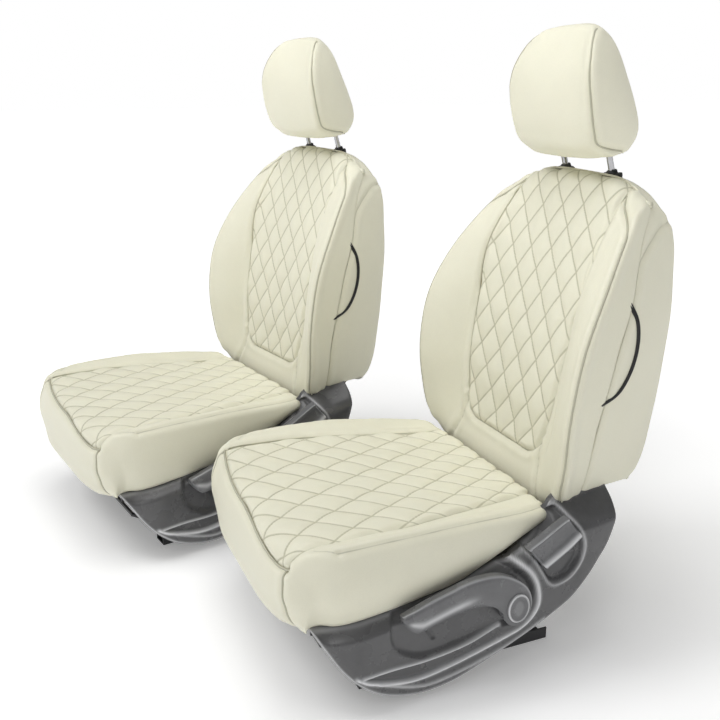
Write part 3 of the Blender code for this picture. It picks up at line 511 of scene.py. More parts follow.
def leather(name, base, dark, quilt=None, thread=(.60, .575, .42, 1)):
    """Ivory leatherette: pebble grain, soft variation, painted shade in seam valleys and stitch grooves, sewn thread.
    """
    g = G(name)
    co = g.n("ShaderNodeTexCoord").outputs["Object"]
    big = g.n("ShaderNodeTexNoise", Scale=5.0, Detail=3.0)
    g.link(co, big.inputs["Vector"])
    mid = g.n("ShaderNodeTexNoise", Scale=38.0, Detail=4.0, Roughness=.6)
    g.link(co, mid.inputs["Vector"])
    grain = g.n("ShaderNodeTexVoronoi", Scale=780.0)
    grain.feature = "DISTANCE_TO_EDGE"
    warp = g.n("ShaderNodeTexNoise", Scale=260.0, Detail=2.0)
    g.link(co, warp.inputs["Vector"])
    add = g.n("ShaderNodeVectorMath", operation="MULTIPLY_ADD")
    g.link(warp.outputs["Color"], add.inputs[0])
    add.inputs[1].default_value = (.0016, .0016, .0016)
    g.link(co, add.inputs[2])
    g.link(add.outputs[0], grain.inputs["Vector"])
    pebble = g.ramp(grain.outputs["Distance"], 0.0, 0.22)
    v = g.math("ADD", g.math("MULTIPLY", big.outputs["Fac"], .6), g.math("MULTIPLY", mid.outputs["Fac"], .4))
    col = g.mix(g.ramp(v, .35, .65), tuple(c * .965 for c in base[:3]) + (1,), base)
    col = g.mix(g.ramp(pebble, 0, 1, .10, 0.0), col, dark)
    seam = g.n("ShaderNodeAttribute", attribute_name="seam").outputs["Fac"]
    # painted shade in the seam grooves: darkest on the seam line, with a weaker band of painted shade up to 10 mm
    # beside it
    seam_valley_shade = g.ramp(seam, .0, .0016, 1.0, 0.0)
    seam_side_shade = g.ramp(seam, .0, .010, .16, 0.0)
    height = g.math("MULTIPLY", pebble, .00010)
    rough = g.ramp(mid.outputs["Fac"], .3, .7, .40, .52)
    if quilt:
        grads = [math.hypot(k[1] + .3 * k[4], k[2] + .6 * k[5]) for k in quilt]
        cell = .052
        q = g.n("ShaderNodeAttribute", attribute_name="quilt").outputs["Vector"]
        sep = g.n("ShaderNodeSeparateXYZ")
        g.link(q, sep.inputs[0])
        ds, masks = [], []
        for a, b in ((0, 1), (1, 0)):
            f = g.math("FRACT", g.math("ADD", sep.outputs[a], 100.5))
            d = g.math("DIVIDE", g.math("ABSOLUTE", g.math("SUBTRACT", f, .5)), grads[a])
            ds.append(d)
            run = g.math("FRACT", g.math("MULTIPLY", g.math("ADD", sep.outputs[b], 100.0), round(cell / .0042)))
            on = g.math("LESS_THAN", run, .66)
            near = g.ramp(d, .00028, .00062, 1.0, 0.0)
            masks.append(g.math("MULTIPLY", on, near))
        dmin = g.math("MINIMUM", ds[0], ds[1])
        # painted shade: a dark band in the groove along each quilt stitch line, wider than the thread
        line = g.ramp(dmin, .0005, .0026, .80, 0.0)
        col = g.mix(line, col, dark)
        sewn = g.math("MAXIMUM", masks[0], masks[1])
        col = g.mix(g.math("MULTIPLY", sewn, .75), col, thread)
        height = g.math("ADD", height, g.math("MULTIPLY", sewn, .00035))
        rough = g.math("ADD", rough, g.math("MULTIPLY", sewn, .18))
    # the painted shade of the seams is mixed in here
    col = g.mix(seam_side_shade, col, dark)
    col = g.mix(g.math("MULTIPLY", seam_valley_shade, .55), col, tuple(c * .62 for c in dark[:3]) + (1,))
    height = g.math("ADD", height, g.math("MULTIPLY", mid.outputs["Fac"], .00022))
    bump = g.n("ShaderNodeBump", Strength=.55, Distance=1.0)
    g.link(height, bump.inputs["Height"])
    g.link(bump.outputs[0], g.b.inputs["Normal"])
    g.link(col, g.b.inputs["Base Color"])
    g.link(rough, g.b.inputs["Roughness"])
    g.b.inputs["Specular IOR Level"].default_value = .38
    g.b.inputs["Sheen Weight"].default_value = .06
    g.b.inputs["Sheen Roughness"].default_value = .5
    g.b.inputs["Subsurface Weight"].default_value = .04
    g.b.inputs["Subsurface Radius"].default_value = (.004, .003, .002)
    return g.m


def plastic(name, base, rough=(.34, .50), grain=1500.0, depth=.00007, edge=None, spec=.5):
    """Moulded plastic with a fine leather grain, and a painted highlight that makes it paler along its ridges."""
    g = G(name)
    co = g.n("ShaderNodeTexCoord").outputs["Object"]
    big = g.n("ShaderNodeTexNoise", Scale=14.0, Detail=5.0, Roughness=.6)
    g.link(co, big.inputs["Vector"])
    fine = g.n("ShaderNodeTexNoise", Scale=grain, Detail=3.0, Roughness=.6)
    g.link(co, fine.inputs["Vector"])
    vor = g.n("ShaderNodeTexVoronoi", Scale=grain * .6)
    g.link(co, vor.inputs["Vector"])
    col = g.mix(g.ramp(big.outputs["Fac"], .3, .7), tuple(c * .78 for c in base[:3]) + (1,),
                tuple(c * 1.20 for c in base[:3]) + (1,))
    col = g.mix(g.ramp(fine.outputs["Fac"], .35, .65, 0, .30), col, tuple(min(1, c * 1.8) for c in base[:3]) + (1,))
    r = g.ramp(big.outputs["Fac"], .3, .7, rough[0], rough[1])
    if edge:
        # painted highlight: along ridges and rims the colour is mixed toward the pale edge colour
        a = g.n("ShaderNodeAttribute", attribute_name="ridge").outputs["Fac"]
        col = g.mix(g.math("MULTIPLY", a, .95, clamp=True), col, edge)
        r = g.math("SUBTRACT", r, g.math("MULTIPLY", a, .12))
    h = g.math("ADD", g.math("MULTIPLY", fine.outputs["Fac"], depth),
               g.math("MULTIPLY", vor.outputs["Distance"], depth * .8))
    bump = g.n("ShaderNodeBump", Strength=.5, Distance=1.0)
    g.link(h, bump.inputs["Height"])
    g.link(bump.outputs[0], g.b.inputs["Normal"])
    g.link(col, g.b.inputs["Base Color"])
    g.link(r, g.b.inputs["Roughness"])
    g.b.inputs["Specular IOR Level"].default_value = spec
    return g.m


def metal(name, base, rough, metallic=1.0, scratch=.04):
    g = G(name)
    co = g.n("ShaderNodeTexCoord").outputs["Object"]
    nz = g.n("ShaderNodeTexNoise", Scale=60.0, Detail=6.0, Roughness=.65)
    g.link(co, nz.inputs["Vector"])
    col = g.mix(g.ramp(nz.outputs["Fac"], .35, .7), tuple(c * .9 for c in base[:3]) + (1,),
                tuple(min(1, c * 1.1) for c in base[:3]) + (1,))
    g.link(col, g.b.inputs["Base Color"])
    g.link(g.ramp(nz.outputs["Fac"], .3, .75, rough - scratch, rough + scratch), g.b.inputs["Roughness"])
    g.b.inputs["Metallic"].default_value = metallic
    bump = g.n("ShaderNodeBump", Strength=.15, Distance=1.0)
    g.link(g.math("MULTIPLY", nz.outputs["Fac"], .0001), bump.inputs["Height"])
    g.link(bump.outputs[0], g.b.inputs["Normal"])
    return g.m


def foam_material(name):
    g = G(name)
    co = g.n("ShaderNodeTexCoord").outputs["Object"]
    v = g.n("ShaderNodeTexVoronoi", Scale=900.0)
    g.link(co, v.inputs["Vector"])
    nz = g.n("ShaderNodeTexNoise", Scale=20.0, Detail=4.0)
    g.link(co, nz.inputs["Vector"])
    col = g.mix(g.ramp(nz.outputs["Fac"], .3, .7), (.62, .55, .33, 1), (.74, .68, .46, 1))
    g.link(col, g.b.inputs["Base Color"])
    g.b.inputs["Roughness"].default_value = .92
    bump = g.n("ShaderNodeBump", Strength=.6, Distance=1.0)
    g.link(g.math("MULTIPLY", v.outputs["Distance"], .0006), bump.inputs["Height"])
    g.link(bump.outputs[0], g.b.inputs["Normal"])
    return g.m


CREAM = (.800, .782, .635, 1)
# CREAM_DARK: tone of the pebble grain, and the colour of the painted shade in seam valleys and stitch grooves
CREAM_DARK = (.40, .385, .27, 1)
# stitch lines of the two quilts over x and the distance t along the form:
# 1, x, t, x x, x t, t t for each of the two families
QB = ((-1.090, 15.122, 7.536, -3.090, -.123, 6.477), (6.292, 16.226, -16.188, 2.075, 2.981, 6.562))
QC = ((5.707, 15.878, -8.502, .291, -5.081, 1.752), (-3.165, 16.282, 17.441, 5.147, -7.257, -4.215))
M_SMOOTH = leather("ivory_leatherette", CREAM, CREAM_DARK)
M_QBACK = leather("ivory_quilt_back", CREAM, CREAM_DARK, quilt=QB)
M_QCUSH = leather("ivory_quilt_cushion", CREAM, CREAM_DARK, quilt=QC)
M_PIPE = leather("ivory_piping", (.81, .79, .645, 1), CREAM_DARK)
# edge: colour of the painted highlight along ridges and rims
M_TRIM = plastic("grained_trim", (.086, .086, .088, 1), rough=(.20, .34), edge=(.74, .745, .76, 1))
# lever: the trim plastic made paler, as painted highlight on the proud lever, with a paler painted highlight colour on
# its ridges
M_LEVER = plastic("lever_trim", (.125, .126, .130, 1), rough=(.20, .32), edge=(.80, .805, .82, 1))
M_BLACK = plastic("black_plastic", (.012, .012, .013, 1), rough=(.30, .42), depth=.00004)
M_CORD = plastic("black_cord", (.010, .010, .010, 1), rough=(.55, .7), grain=2600.0, depth=.00010)
M_STEEL = metal("black_steel", (.022, .022, .024, 1), .42, metallic=.0)
M_CHROME = metal("chrome_plate", (.42, .42, .43, 1), .10, scratch=.03)
M_FOAM = foam_material("seat_foam")


# ------------------------------------------------------------------ sewing helpers
def seg_line(pts, n=8):
    pts = np.asarray(pts, float)
    f = np.linspace(0, len(pts) - 1, (len(pts) - 1) * n + 1)
    k = np.arange(len(pts))
    sp = [spline(k, pts[:, i]) for i in range(pts.shape[1])]
    return np.stack([g(f) for g in sp], 1)


def at(s, grid, rows, cols):
    """Points on a welded patch at fractional rows and columns."""
    nb, na = grid.shape
    rows, cols = np.broadcast_arrays(np.asarray(rows, float), np.asarray(cols, float))
    i = np.clip(np.floor(rows).astype(int), 0, nb - 2)
    j = np.clip(np.floor(cols).astype(int), 0, na - 2)
    u = np.clip(rows - i, 0, 1)[:, None]
    v = np.clip(cols - j, 0, 1)[:, None]
    P = s.V
    return ((1 - u) * ((1 - v) * P[grid[i, j]] + v * P[grid[i, j + 1]])
            + u * ((1 - v) * P[grid[i + 1, j]] + v * P[grid[i + 1, j + 1]]))


def grids(s, shapes):
    """Vertex numbers of each patch after the weld."""
    return [s.inv[n0:n0 + nb * na].reshape(nb, na) for n0, nb, na in shapes]


class Form(Surf):
    def __init__(self):
        super().__init__()
        self.shapes = []

    def patch(self, P, flip=False, **attrs):
        self.shapes.append((self.n, P.shape[0], P.shape[1]))
        return super().patch(P, flip, **attrs)

    def weld(self, tol=2e-5):
        V = np.concatenate(self.V)
        key = np.round(V / tol).astype(np.int64)
        _, inv = np.unique(key, axis=0, return_inverse=True)
        self.inv = inv.reshape(-1)
        super().weld(tol)
        self.g = grids(self, self.shapes)
        return self


def shell(s, thick, attrs=True):
    """Closes a sheet into a thin solid: outer face, inner face thick below it, and a rim."""
    N = s.normals()
    n = len(s.V)
    t = np.reshape(np.broadcast_to(thick, (n,)), (-1, 1))
    inner = s.V - N * t
    e = np.concatenate([s.quads[:, [0, 1]], s.quads[:, [1, 2]], s.quads[:, [2, 3]], s.quads[:, [3, 0]]]
                       + ([s.tris[:, [0, 1]], s.tris[:, [1, 2]], s.tris[:, [2, 0]]] if len(s.tris) else []))
    key = np.sort(e, axis=1)
    _, idx, cnt = np.unique(key, axis=0, return_index=True, return_counts=True)
    rim = e[idx[cnt == 1]]
    rq = np.stack([rim[:, 1], rim[:, 0], rim[:, 0] + n, rim[:, 1] + n], 1)
    out = Surf()
    out.V = np.concatenate([s.V, inner])
    out.quads = np.concatenate([s.quads, s.quads[:, ::-1] + n, rq])
    out.tris = np.concatenate([s.tris, s.tris[:, ::-1] + n]) if len(s.tris) else s.tris
    out.A = {k: np.concatenate([v, np.full_like(v, .02 if k == "seam" else 0.0)]) for k, v in s.A.items()}
    return out


def sew(s, lines, depth=.0024, width=.0050, puff=.0010, seed=1, pucker=.0004):
    """Draws the surface in along seam lines and stores how far each point is from one."""
    V = s.V
    N = s.normals()
    best = np.full(len(V), .05)
    h = np.zeros(len(V))
    for k, (L, amp) in enumerate(lines):
        lo, hi = L.min(0) - .035, L.max(0) + .035
        m = np.all((V > lo) & (V < hi), axis=1)
        if not m.any():
            continue
        d, al = dist_to(V[m], L)
        hh = np.zeros(len(V))
        hh[m] = amp * (-depth * np.exp(-(d / width) ** 2) + puff * np.exp(-((d - .013) / .008) ** 2)
                       + pucker * np.exp(-(d / .011) ** 2) * wob(al, seed * 13 + k, .021))
        h += hh
        dd = np.full(len(V), .05)
        dd[m] = d
        best = np.minimum(best, dd)
    s.V = V + N * h[:, None]
    s.A["seam"] = best[:, None]
    return s


def pillow(u1, u2, h0, p=.45):
    return h0 * (np.abs(np.sin(np.pi * u1)) * np.abs(np.sin(np.pi * u2))) ** p


def arclen(fn, b0=0.0, b1=1.0, n=2001):
    b = np.linspace(b0, b1, n)
    P = fn(0 * b, b, 0 * b)
    L = np.concatenate([[0], np.cumsum(np.linalg.norm(np.diff(P, axis=0), axis=1))])
    return lambda q: np.interp(q, b, L), (lambda L_: np.interp(L_, L, b)), L[-1]


STEP = .0034

# ------------------------------------------------------------------ cushion cover
def front_shape(s):
    """The cushion's front face stands a little further back and is rounder at its lower corners."""
    x, y, z = s.V.T
    t = smooth(.37, .50, -y)
    y2 = y + .0125 * t * (1 - .75 * smooth(.06, .12, -z))
    k = smooth(.40, .49, -y) * smooth(.03, .12, -z) * smooth(.10, .24, np.abs(x))
    s.V = np.stack([x - np.sign(x) * .012 * k, y2 + .008 * k, z - .002 * k], 1)
    return s


CB0, CBQ = .05, .838
ct, cb, CL = arclen(cushion)
W_CUSH = spline([r[0] for r in CUSH_ROWS], [r[9] for r in CUSH_ROWS])


def quilt_coords(x, t, fit):
    """The two numbers that are whole along the two families of stitch lines."""
    return [k[0] + k[1] * x + k[2] * t + k[3] * x * x + k[4] * x * t + k[5] * t * t for k in fit]


def front_line(u):
    """Arc length of the quilt's front seam: it hangs lower towards the outer corner."""
    return ct(CBQ) + .024 * smooth(-.1, 1, u) - .013 * smooth(.1, 1, -u)


def cushion_quilt():
    nb = int((ct(CBQ) - ct(CB0)) / STEP)
    na = int(.44 / STEP)
    u = np.linspace(-1, 1, na)[None]
    b = cb(ct(CB0) + np.linspace(0, 1, nb)[:, None] * (front_line(u) - ct(CB0)))
    x = u * CQ(b)
    P = cushion(x / W_CUSH(b), b, 0.0)
    u1, u2 = quilt_coords(x, ct(b), QC)
    s = Form()
    s.patch(P, quilt=np.stack([u1, u2, 0 * u1], -1).reshape(nb, na, 3))
    s.weld()
    front_shape(s)
    q = s.A["quilt"]
    if (s.normals()[:, 2].mean()) < 0:
        s.quads = s.quads[:, ::-1]
        s.tris = s.tris[:, ::-1]
    g = s.g[0]
    edge = [(s.V[g[:, 0]], .8), (s.V[g[:, -1]], .8), (s.V[g[-1]], .8)]
    near = np.full(len(s.V), .05)
    for L, _ in edge:
        near = np.minimum(near, dist_to(s.V, L)[0])
    fade = smooth(0, .012, near)
    h = pillow(q[:, 0], q[:, 1], .0074) * fade - .0026 + .0012 * wob3(s.V, 5, .10)
    s.displace(h)
    sew(s, edge, depth=.0016, width=.0040, puff=.0, seed=3)
    return s


def cushion_border():
    nq = int((ct(CBQ) - ct(CB0)) / STEP)
    nf = int((CL - ct(CBQ)) / STEP)
    tq, tf = np.linspace(0, 1, nq), np.linspace(0, 1, nf)
    ns, nqx = 16, int(.44 / STEP)
    s = Form()
    balls = {}
    for sg in (-1, 1):
        fl = float(front_line(np.float64(sg)))
        bq = cb(ct(CB0) + tq * (fl - ct(CB0)))
        balls[sg] = np.concatenate([bq, cb(fl + tf * (CL - fl))[1:]])[:, None]
        v = np.linspace(0, 1, ns)[None]
        b = bq[:, None]
        a = (CQ(b) + v * (W_CUSH(b) - CQ(b))) / W_CUSH(b) * sg
        s.patch(cushion(a, b, 0.0), flip=sg < 0)
    # front panel
    v = np.linspace(0, 1, ns)
    mid = np.linspace(-1, 1, nqx)[1:-1]
    uu = np.concatenate([-np.ones(ns), mid, np.ones(ns)])[None]
    vv = np.concatenate([1 - v, 0 * mid, v])[None]
    bf = cb(front_line(uu) + tf[:, None] * (CL - front_line(uu)))
    w, q = W_CUSH(bf), CQ(bf)
    xs = uu * (q + (w - q) * vv)
    s.patch(cushion(xs / w, bf, 0.0))
    # skirts
    for sg in (-1, 1):
        c = np.linspace(0, 1, 22)[None]
        s.patch(cushion(sg * np.ones_like(c), balls[sg], c), flip=sg < 0)
    # underlip of the front
    c = np.linspace(0, 1, 4)[:, None]
    s.patch(cushion((xs / w)[-1][None], 1.0, c))
    s.weld()
    if s.normals()[s.g[2][nf // 3]].mean(0) @ np.array([0, -1, .5]) < 0:
        s.quads, s.tris = s.quads[:, ::-1], s.tris[:, ::-1]
    front_shape(s)
    gf, gr, gl = s.g[2], s.g[4], s.g[3]
    # round the crest towards the front, and the front corners
    crest = np.zeros(len(s.V))
    for g in (gr, gl):
        L = s.V[g[:, 0]]
        d, _ = dist_to(s.V, L)
        crest = np.maximum(crest, np.exp(-(d / .016) ** 2))
    low = s.V[gf[-1]]
    d, _ = dist_to(s.V, low)
    crest = np.maximum(crest, .8 * np.exp(-(d / .012) ** 2))
    s.relax(np.clip(crest * 1.2, 0, 1), n=26)
    lines = []
    for k, sg in ((0, -1), (1, 1)):
        g = s.g[k]
        lines.append((s.V[g[:, 0]], .9))
        sk = s.g[3 if sg < 0 else 4]
        # crest seam, ends a little behind the front corner
        i1 = int(np.searchsorted(balls[sg][:, 0], .655 if sg < 0 else .69))
        rows = np.arange(0, i1)
        lines.append((s.V[sk[rows, 0]], .8))
        gg = s.g[k]
        hook_r = np.linspace(i1 - 1, i1 + .07 * nq, 12)
        hook_c = (ns - 1) * (1 - .55 * np.linspace(0, 1, 12) ** 1.6)
        lines.append((at(s, gg, hook_r, hook_c), .6))
    g = s.g[2]
    lines.append((s.V[g[0, ns - 1:ns - 1 + nqx]], .9))
    pipes = [s.V[g[0, ns - 1:ns - 1 + nqx]]]
    for sg in (-1, 1):
        r = np.concatenate([np.linspace(0, .40, 16) ** 1.0, np.linspace(.40, 1, 26)[1:]]) * (nf - 1)
        cc = np.interp(r / (nf - 1), [0, .10, .25, .5, .75, 1.0], [.0, .02, .08, .18, .26, .34]) * (ns - 1)
        cols = (ns + nqx - 3 + cc) if sg > 0 else (ns - 1 - cc)
        L = at(s, g, r, cols)
        lines.append((L, .9))
        pipes.append(L)
    N0 = s.normals()
    s.displace(.0010 * wob3(s.V, 9, .13), N0)
    sew(s, lines, depth=.0026, width=.0048, puff=.0014, seed=5, pucker=.0005)
    return s, lines, pipes


# ------------------------------------------------------------------ backrest cover
bt, bb_, BL = arclen(back)
W_BACK = spline([r[0] for r in BACK_ROWS], [r[9] for r in BACK_ROWS])
BQC = .2405     # where the straight sides of the quilt start, above its rounded lower corners


def quilt_foot(u):
    """Lower edge of the backrest quilt, a flat U with rounded corners, u from -1 to 1."""
    x = np.abs(u) * .136
    t0, r = bt(.1715), .046
    t = t0 + .0020 * np.abs(u) ** 2 + np.where(x > .136 - r, r - np.sqrt(np.maximum(r * r - (x - (.136 - r)) ** 2, 0)), 0)
    return np.minimum(bb_(t), BQC)


def orient(s, centre):
    N = s.normals()
    if ((s.V - centre) * N).sum(1).mean() < 0:
        s.quads, s.tris = s.quads[:, ::-1], s.tris[:, ::-1]
    return s


def back_quilt():
    nb = int((bt(1.0) - bt(.17)) / STEP)
    na = int(.32 / STEP)
    u = np.sin(np.linspace(-1, 1, na) * np.pi / 2 * .86)[None] / math.sin(np.pi / 2 * .86)
    tf = bt(quilt_foot(u))
    b = bb_(tf + np.linspace(0, 1, nb)[:, None] * (bt(1.0) - tf))
    x = u * QW(b)
    P = back(x / W_BACK(b), b, 0.0)
    u1, u2 = quilt_coords(x, bt(b), QB)
    s = Form()
    s.patch(P, quilt=np.stack([u1, u2, 0 * u1], -1).reshape(nb, na, 3))
    s.weld()
    orient(s, np.array([0, .5, .2]))
    q = s.A["quilt"]
    g = s.g[0]
    edge = [(s.V[g[:, 0]], .8), (s.V[g[:, -1]], .8), (s.V[g[0]], .8), (s.V[g[-1]], .5)]
    near = np.full(len(s.V), .05)
    for L, _ in edge:
        near = np.minimum(near, dist_to(s.V, L)[0])
    h = pillow(q[:, 0], q[:, 1], .0056) * smooth(0, .011, near) - .0022 + .0009 * wob3(s.V, 15, .09)
    gy, gz = post_point(.002)
    for sx in (-POST_X, POST_X):
        d = np.linalg.norm(s.V - np.array([sx, gy - .004, gz]), axis=1)
        h = h - .0050 * np.exp(-(d / .021) ** 2)
    s.displace(h)
    sew(s, edge, depth=.0016, width=.0040, puff=0.0, seed=7)
    return s


def back_front():
    """Bolsters, lumbar panel and the side strips up to the side seam."""
    n1 = int((bt(1.0) - bt(BQC)) / STEP)
    b1 = bb_(np.linspace(bt(BQC), bt(1.0), n1))
    n0 = int((bt(BQC) - bt(.075)) / STEP)
    b0 = bb_(np.linspace(bt(.075), bt(BQC), n0))
    ns, nq = int(.105 / STEP), int(.32 / STEP)
    s = Form()
    v = np.linspace(0, 1, ns)
    for sg in (-1, 1):
        b = b1[:, None]
        a = (QW(b) + v[None] * (W_BACK(b) - QW(b))) / W_BACK(b) * sg
        s.patch(back(a, b, 0.0), flip=sg < 0)
    uq = np.sin(np.linspace(-1, 1, nq) * np.pi / 2 * .86)[1:-1] / math.sin(np.pi / 2 * .86)
    top = np.concatenate([np.full(ns, BQC), quilt_foot(uq), np.full(ns, BQC)])[None]
    f0 = ((bt(b0) - bt(.075)) / (bt(BQC) - bt(.075)))[:, None]
    bl = bb_(bt(.075) + f0 * (bt(top) - bt(.075)))
    bl[:, :ns], bl[:, -ns:] = b0[:, None], b0[:, None]
    w, q = W_BACK(bl), QW(bl)
    vs = np.concatenate([1 - v, np.zeros(nq - 2), v])[None]
    sg_ = np.concatenate([-np.ones(ns), uq, np.ones(ns)])[None]
    xs = sg_ * (q + (w - q) * vs)
    s.patch(back(xs / w, bl, 0.0))
    ball = np.concatenate([b0, b1[1:]])[:, None]
    nc = int(.085 / STEP)
    for sg in (-1, 1):
        c = np.linspace(0, 1, nc)[None] * (SIDE_SEAM(ball) - .004)
        s.patch(back(sg * np.ones_like(c), ball, c), flip=sg < 0)
    # hem along the bottom, turned in
    inw = np.linspace(0, 1, 5)[:, None, None]
    base = back(xs / w, bl, 0.0)[:1]
    s.patch(base + inw * np.array([0, .012, -.004]) * np.sin(inw * 1.57), flip=True)
    s.weld()
    orient(s, np.array([0, .5, .2]))
    crest = np.zeros(len(s.V))
    for k in (3, 4):
        d, _ = dist_to(s.V, s.V[s.g[k][:, 0]])
        crest = np.maximum(crest, np.exp(-(d / .017) ** 2))
    d, _ = dist_to(s.V, back(np.linspace(-1, 1, 60), np.full(60, .985), np.zeros(60)))
    s.relax(np.clip(crest * 1.2, 0, 1), n=16)
    s.displace(.0042 * crest)
    lines, pipes = [], []
    for k, sg in ((0, -1), (1, 1)):
        g = s.g[k]
        lines.append((s.V[g[:, 0]], .9))            # beside the quilt
        # crest seam: on the edge up to b .7, then inward to meet the quilt seam near .93
        rows0 = np.arange(n0 - 1)
        sk = s.g[3 if sg < 0 else 4]
        low = s.V[sk[rows0, 0]]
        r = np.linspace(0, 1, 90)
        bb = BQC + r * (.952 - BQC)
        rr = np.interp(bb, b1, np.arange(n1))
        cc = (ns - 1) * (1 - smooth(.82, .965, bb) ** 1.2)
        up = at(s, g, rr, cc)
        L = np.concatenate([low, up])
        lines.append((L, 1.0))
        pipes.append(L[6:])
        # lumbar seam straight down from the quilt's corner
        k0 = np.linspace(0, 1, 24)
        bl_ = .212 - k0 * (.212 - .075)
        xl = sg * (.1325 + .030 * k0 ** 1.5)
        lines.append((back(xl / W_BACK(bl_), bl_, 0.0 * bl_), .95))
    gl = s.g[2]
    lines.append((s.V[gl[-1, ns - 1:ns - 1 + nq]], 1.0))
    s.displace(.0012 * wob3(s.V, 21, .12))
    sew(s, lines, depth=.0028, width=.0050, puff=.0016, seed=11, pucker=.0006)
    return s, lines, pipes


def back_rear():
    """Rear panel and the side panels behind the side seam, with the airbag opening."""
    n = int((bt(1.0) - bt(.125)) / STEP)
    b = bb_(np.linspace(bt(.125), bt(1.0), n))[:, None]
    nr = int(.44 / (STEP * 1.25))
    s = Form()
    nc = int(.15 / STEP)
    for sg in (-1, 1):
        c0 = SIDE_SEAM(b) + .006
        c = c0 + np.linspace(0, 1, nc)[None] * (1 - c0)
        s.patch(back(sg * np.ones_like(c), b, c), flip=sg < 0)
    a = np.linspace(-1, 1, nr)[None]
    s.patch(back(a, b, 1.0), flip=True)
    # top, from the front cover's seam to the rear
    c = np.linspace(.03, 1, 5)[:, None]
    s.patch(back(a, 1.0, c))
    s.weld()
    orient(s, np.array([0, 0, .25]))
    corner = np.zeros(len(s.V))
    for k in (0, 1):
        d, _ = dist_to(s.V, s.V[s.g[k][:, -1]])
        corner = np.maximum(corner, np.exp(-(d / .020) ** 2))
    d, _ = dist_to(s.V, s.V[s.g[2][-1]])
    corner = np.maximum(corner, np.exp(-(d / .014) ** 2))
    s.relax(np.clip(corner * 1.25, 0, 1), n=46)
    lines = []
    arcs = []
    for k, sg in ((0, -1), (1, 1)):
        g = s.g[k]
        bcol = b[:, 0]
        hb = np.array([.775, .815, .845, .872, .892, .904, .910])
        hc = np.array([.345, .43, .52, .61, .71, .83, 1.0])
        c0 = SIDE_SEAM(hb) + .006
        hook = at(s, g, np.interp(hb, bcol, np.arange(n)), np.clip((hc - c0) / (1 - c0), 0, 1) * (nc - 1))
        low = s.V[g[bcol < .755, 0]]
        lines.append((np.concatenate([low, seg_line(hook, 8)]), 1.0))
    g = s.g[2]
    for f in (.22, .78):
        cols = np.full(60, f * (nr - 1))
        rows = np.linspace(0, (n - 1) * .995, 60)
        lines.append((at(s, g, rows, cols + np.sin(np.linspace(0, 3.1, 60)) * (3 if f < .5 else -3)), .5))
    rows = np.full(60, .84 * (n - 1))
    lines.append((at(s, g, rows, np.linspace(.22, .78, 60) * (nr - 1)), .5))
    s.displace(.0013 * wob3(s.V, 31, .16))
    sew(s, lines, depth=.0024, width=.0048, puff=.0012, seed=17)
    return s, lines


# ------------------------------------------------------------------ headrest
def headrest():
    n, na, nc = int(.26 / STEP), int(.25 / STEP), int(.11 / STEP)
    e = np.linspace(0, 1, n)[:, None]
    b = e
    a = np.linspace(-1, 1, na)[None]
    c = np.linspace(0, 1, nc)
    s = Form()
    s.patch(head(a, b, 0.0))
    s.patch(head(a, b, 1.0), flip=True)
    for sg in (-1, 1):
        s.patch(head(sg * np.ones_like(c)[None], b, c[None]), flip=sg < 0)
    s.patch(head(a, 0.0, c[:, None]), flip=True)
    s.weld()
    orient(s, np.array([0, .165, .70]))
    edge = np.zeros(len(s.V))
    for L, wd in ((s.V[s.g[2][:, 0]], .015), (s.V[s.g[3][:, 0]], .015), (s.V[s.g[2][:, -1]], .024),
                  (s.V[s.g[3][:, -1]], .022), (s.V[s.g[0][-1]], .014), (s.V[s.g[0][0]], .018), (s.V[s.g[1][0]], .018)):
        d, _ = dist_to(s.V, L)
        edge = np.maximum(edge, np.exp(-(d / wd) ** 2))
    s.relax(np.clip(edge * 1.3, 0, 1), n=28)
    s.V[:, 2] += .0060 * smooth(.335, .385, .985 - s.V[:, 2])
    up = smooth(.735, .835, s.V[:, 2])
    s.V[:, 1] += .0110 * up
    s.V[:, 2] += .0045 * up
    N = s.normals()
    # crown: a little fuller in the middle of each face
    full = .004 * np.exp(-(s.V[:, 0] / .07) ** 2) * np.exp(-((s.V[:, 2] - .71) / .07) ** 2)
    s.displace(full + .0009 * wob3(s.V, 41, .10), N)
    lines, pipes = [], []
    for k, sg in ((2, -1), (3, 1)):
        g = s.g[k]
        bs = np.linspace(.03, .985, 80)
        rows = bs * (n - 1)
        cols = (nc - 1) * (.10 * smooth(.86, 1.0, bs) + .55 * (1 - smooth(.03, .22, bs)) ** 2.0)
        L = at(s, g, rows, cols)
        lines.append((L, 1.0))
        pipes.append(L)
    g0 = s.g[0]
    top = at(s, g0, np.full(60, .955 * (n - 1)), np.linspace(.02, .98, 60) * (na - 1))
    gb = s.g[4]
    low = at(s, gb, np.full(50, .08 * (nc - 1)), np.linspace(.06, .94, 50) * (na - 1))
    lines.append((low, .7))
    sew(s, lines, depth=.0022, width=.0042, puff=.0012, seed=23, pucker=.0005)
    return s, lines, pipes


# ------------------------------------------------------------------ side trims
TOP = [(-.449, -.101), (-.42, -.0955), (-.385, -.0915), (-.30, -.0805), (-.20, -.064), (-.115, -.042),
       (-.068, -.021), (-.030, .002), (-.013, .022), (-.004, .033), (.010, .041), (.060, .047), (.113, .056)]
LOW = [(-.449, -.104), (-.434, -.129), (-.410, -.168), (-.363, -.216), (-.294, -.245), (-.215, -.243), (-.150, -.222),
       (-.085, -.196), (-.020, -.165), (.036, -.128), (.074, -.079), (.100, -.029), (.113, .022)]
TOP_IN = [(-.449, -.101), (-.42, -.0955), (-.385, -.0915), (-.30, -.0805), (-.20, -.064), (-.115, -.048),
          (-.062, -.032), (.0, -.022), (.060, -.026), (.092, -.036)]
LOW_IN = LOW[:10] + [(.074, -.079), (.092, -.046)]


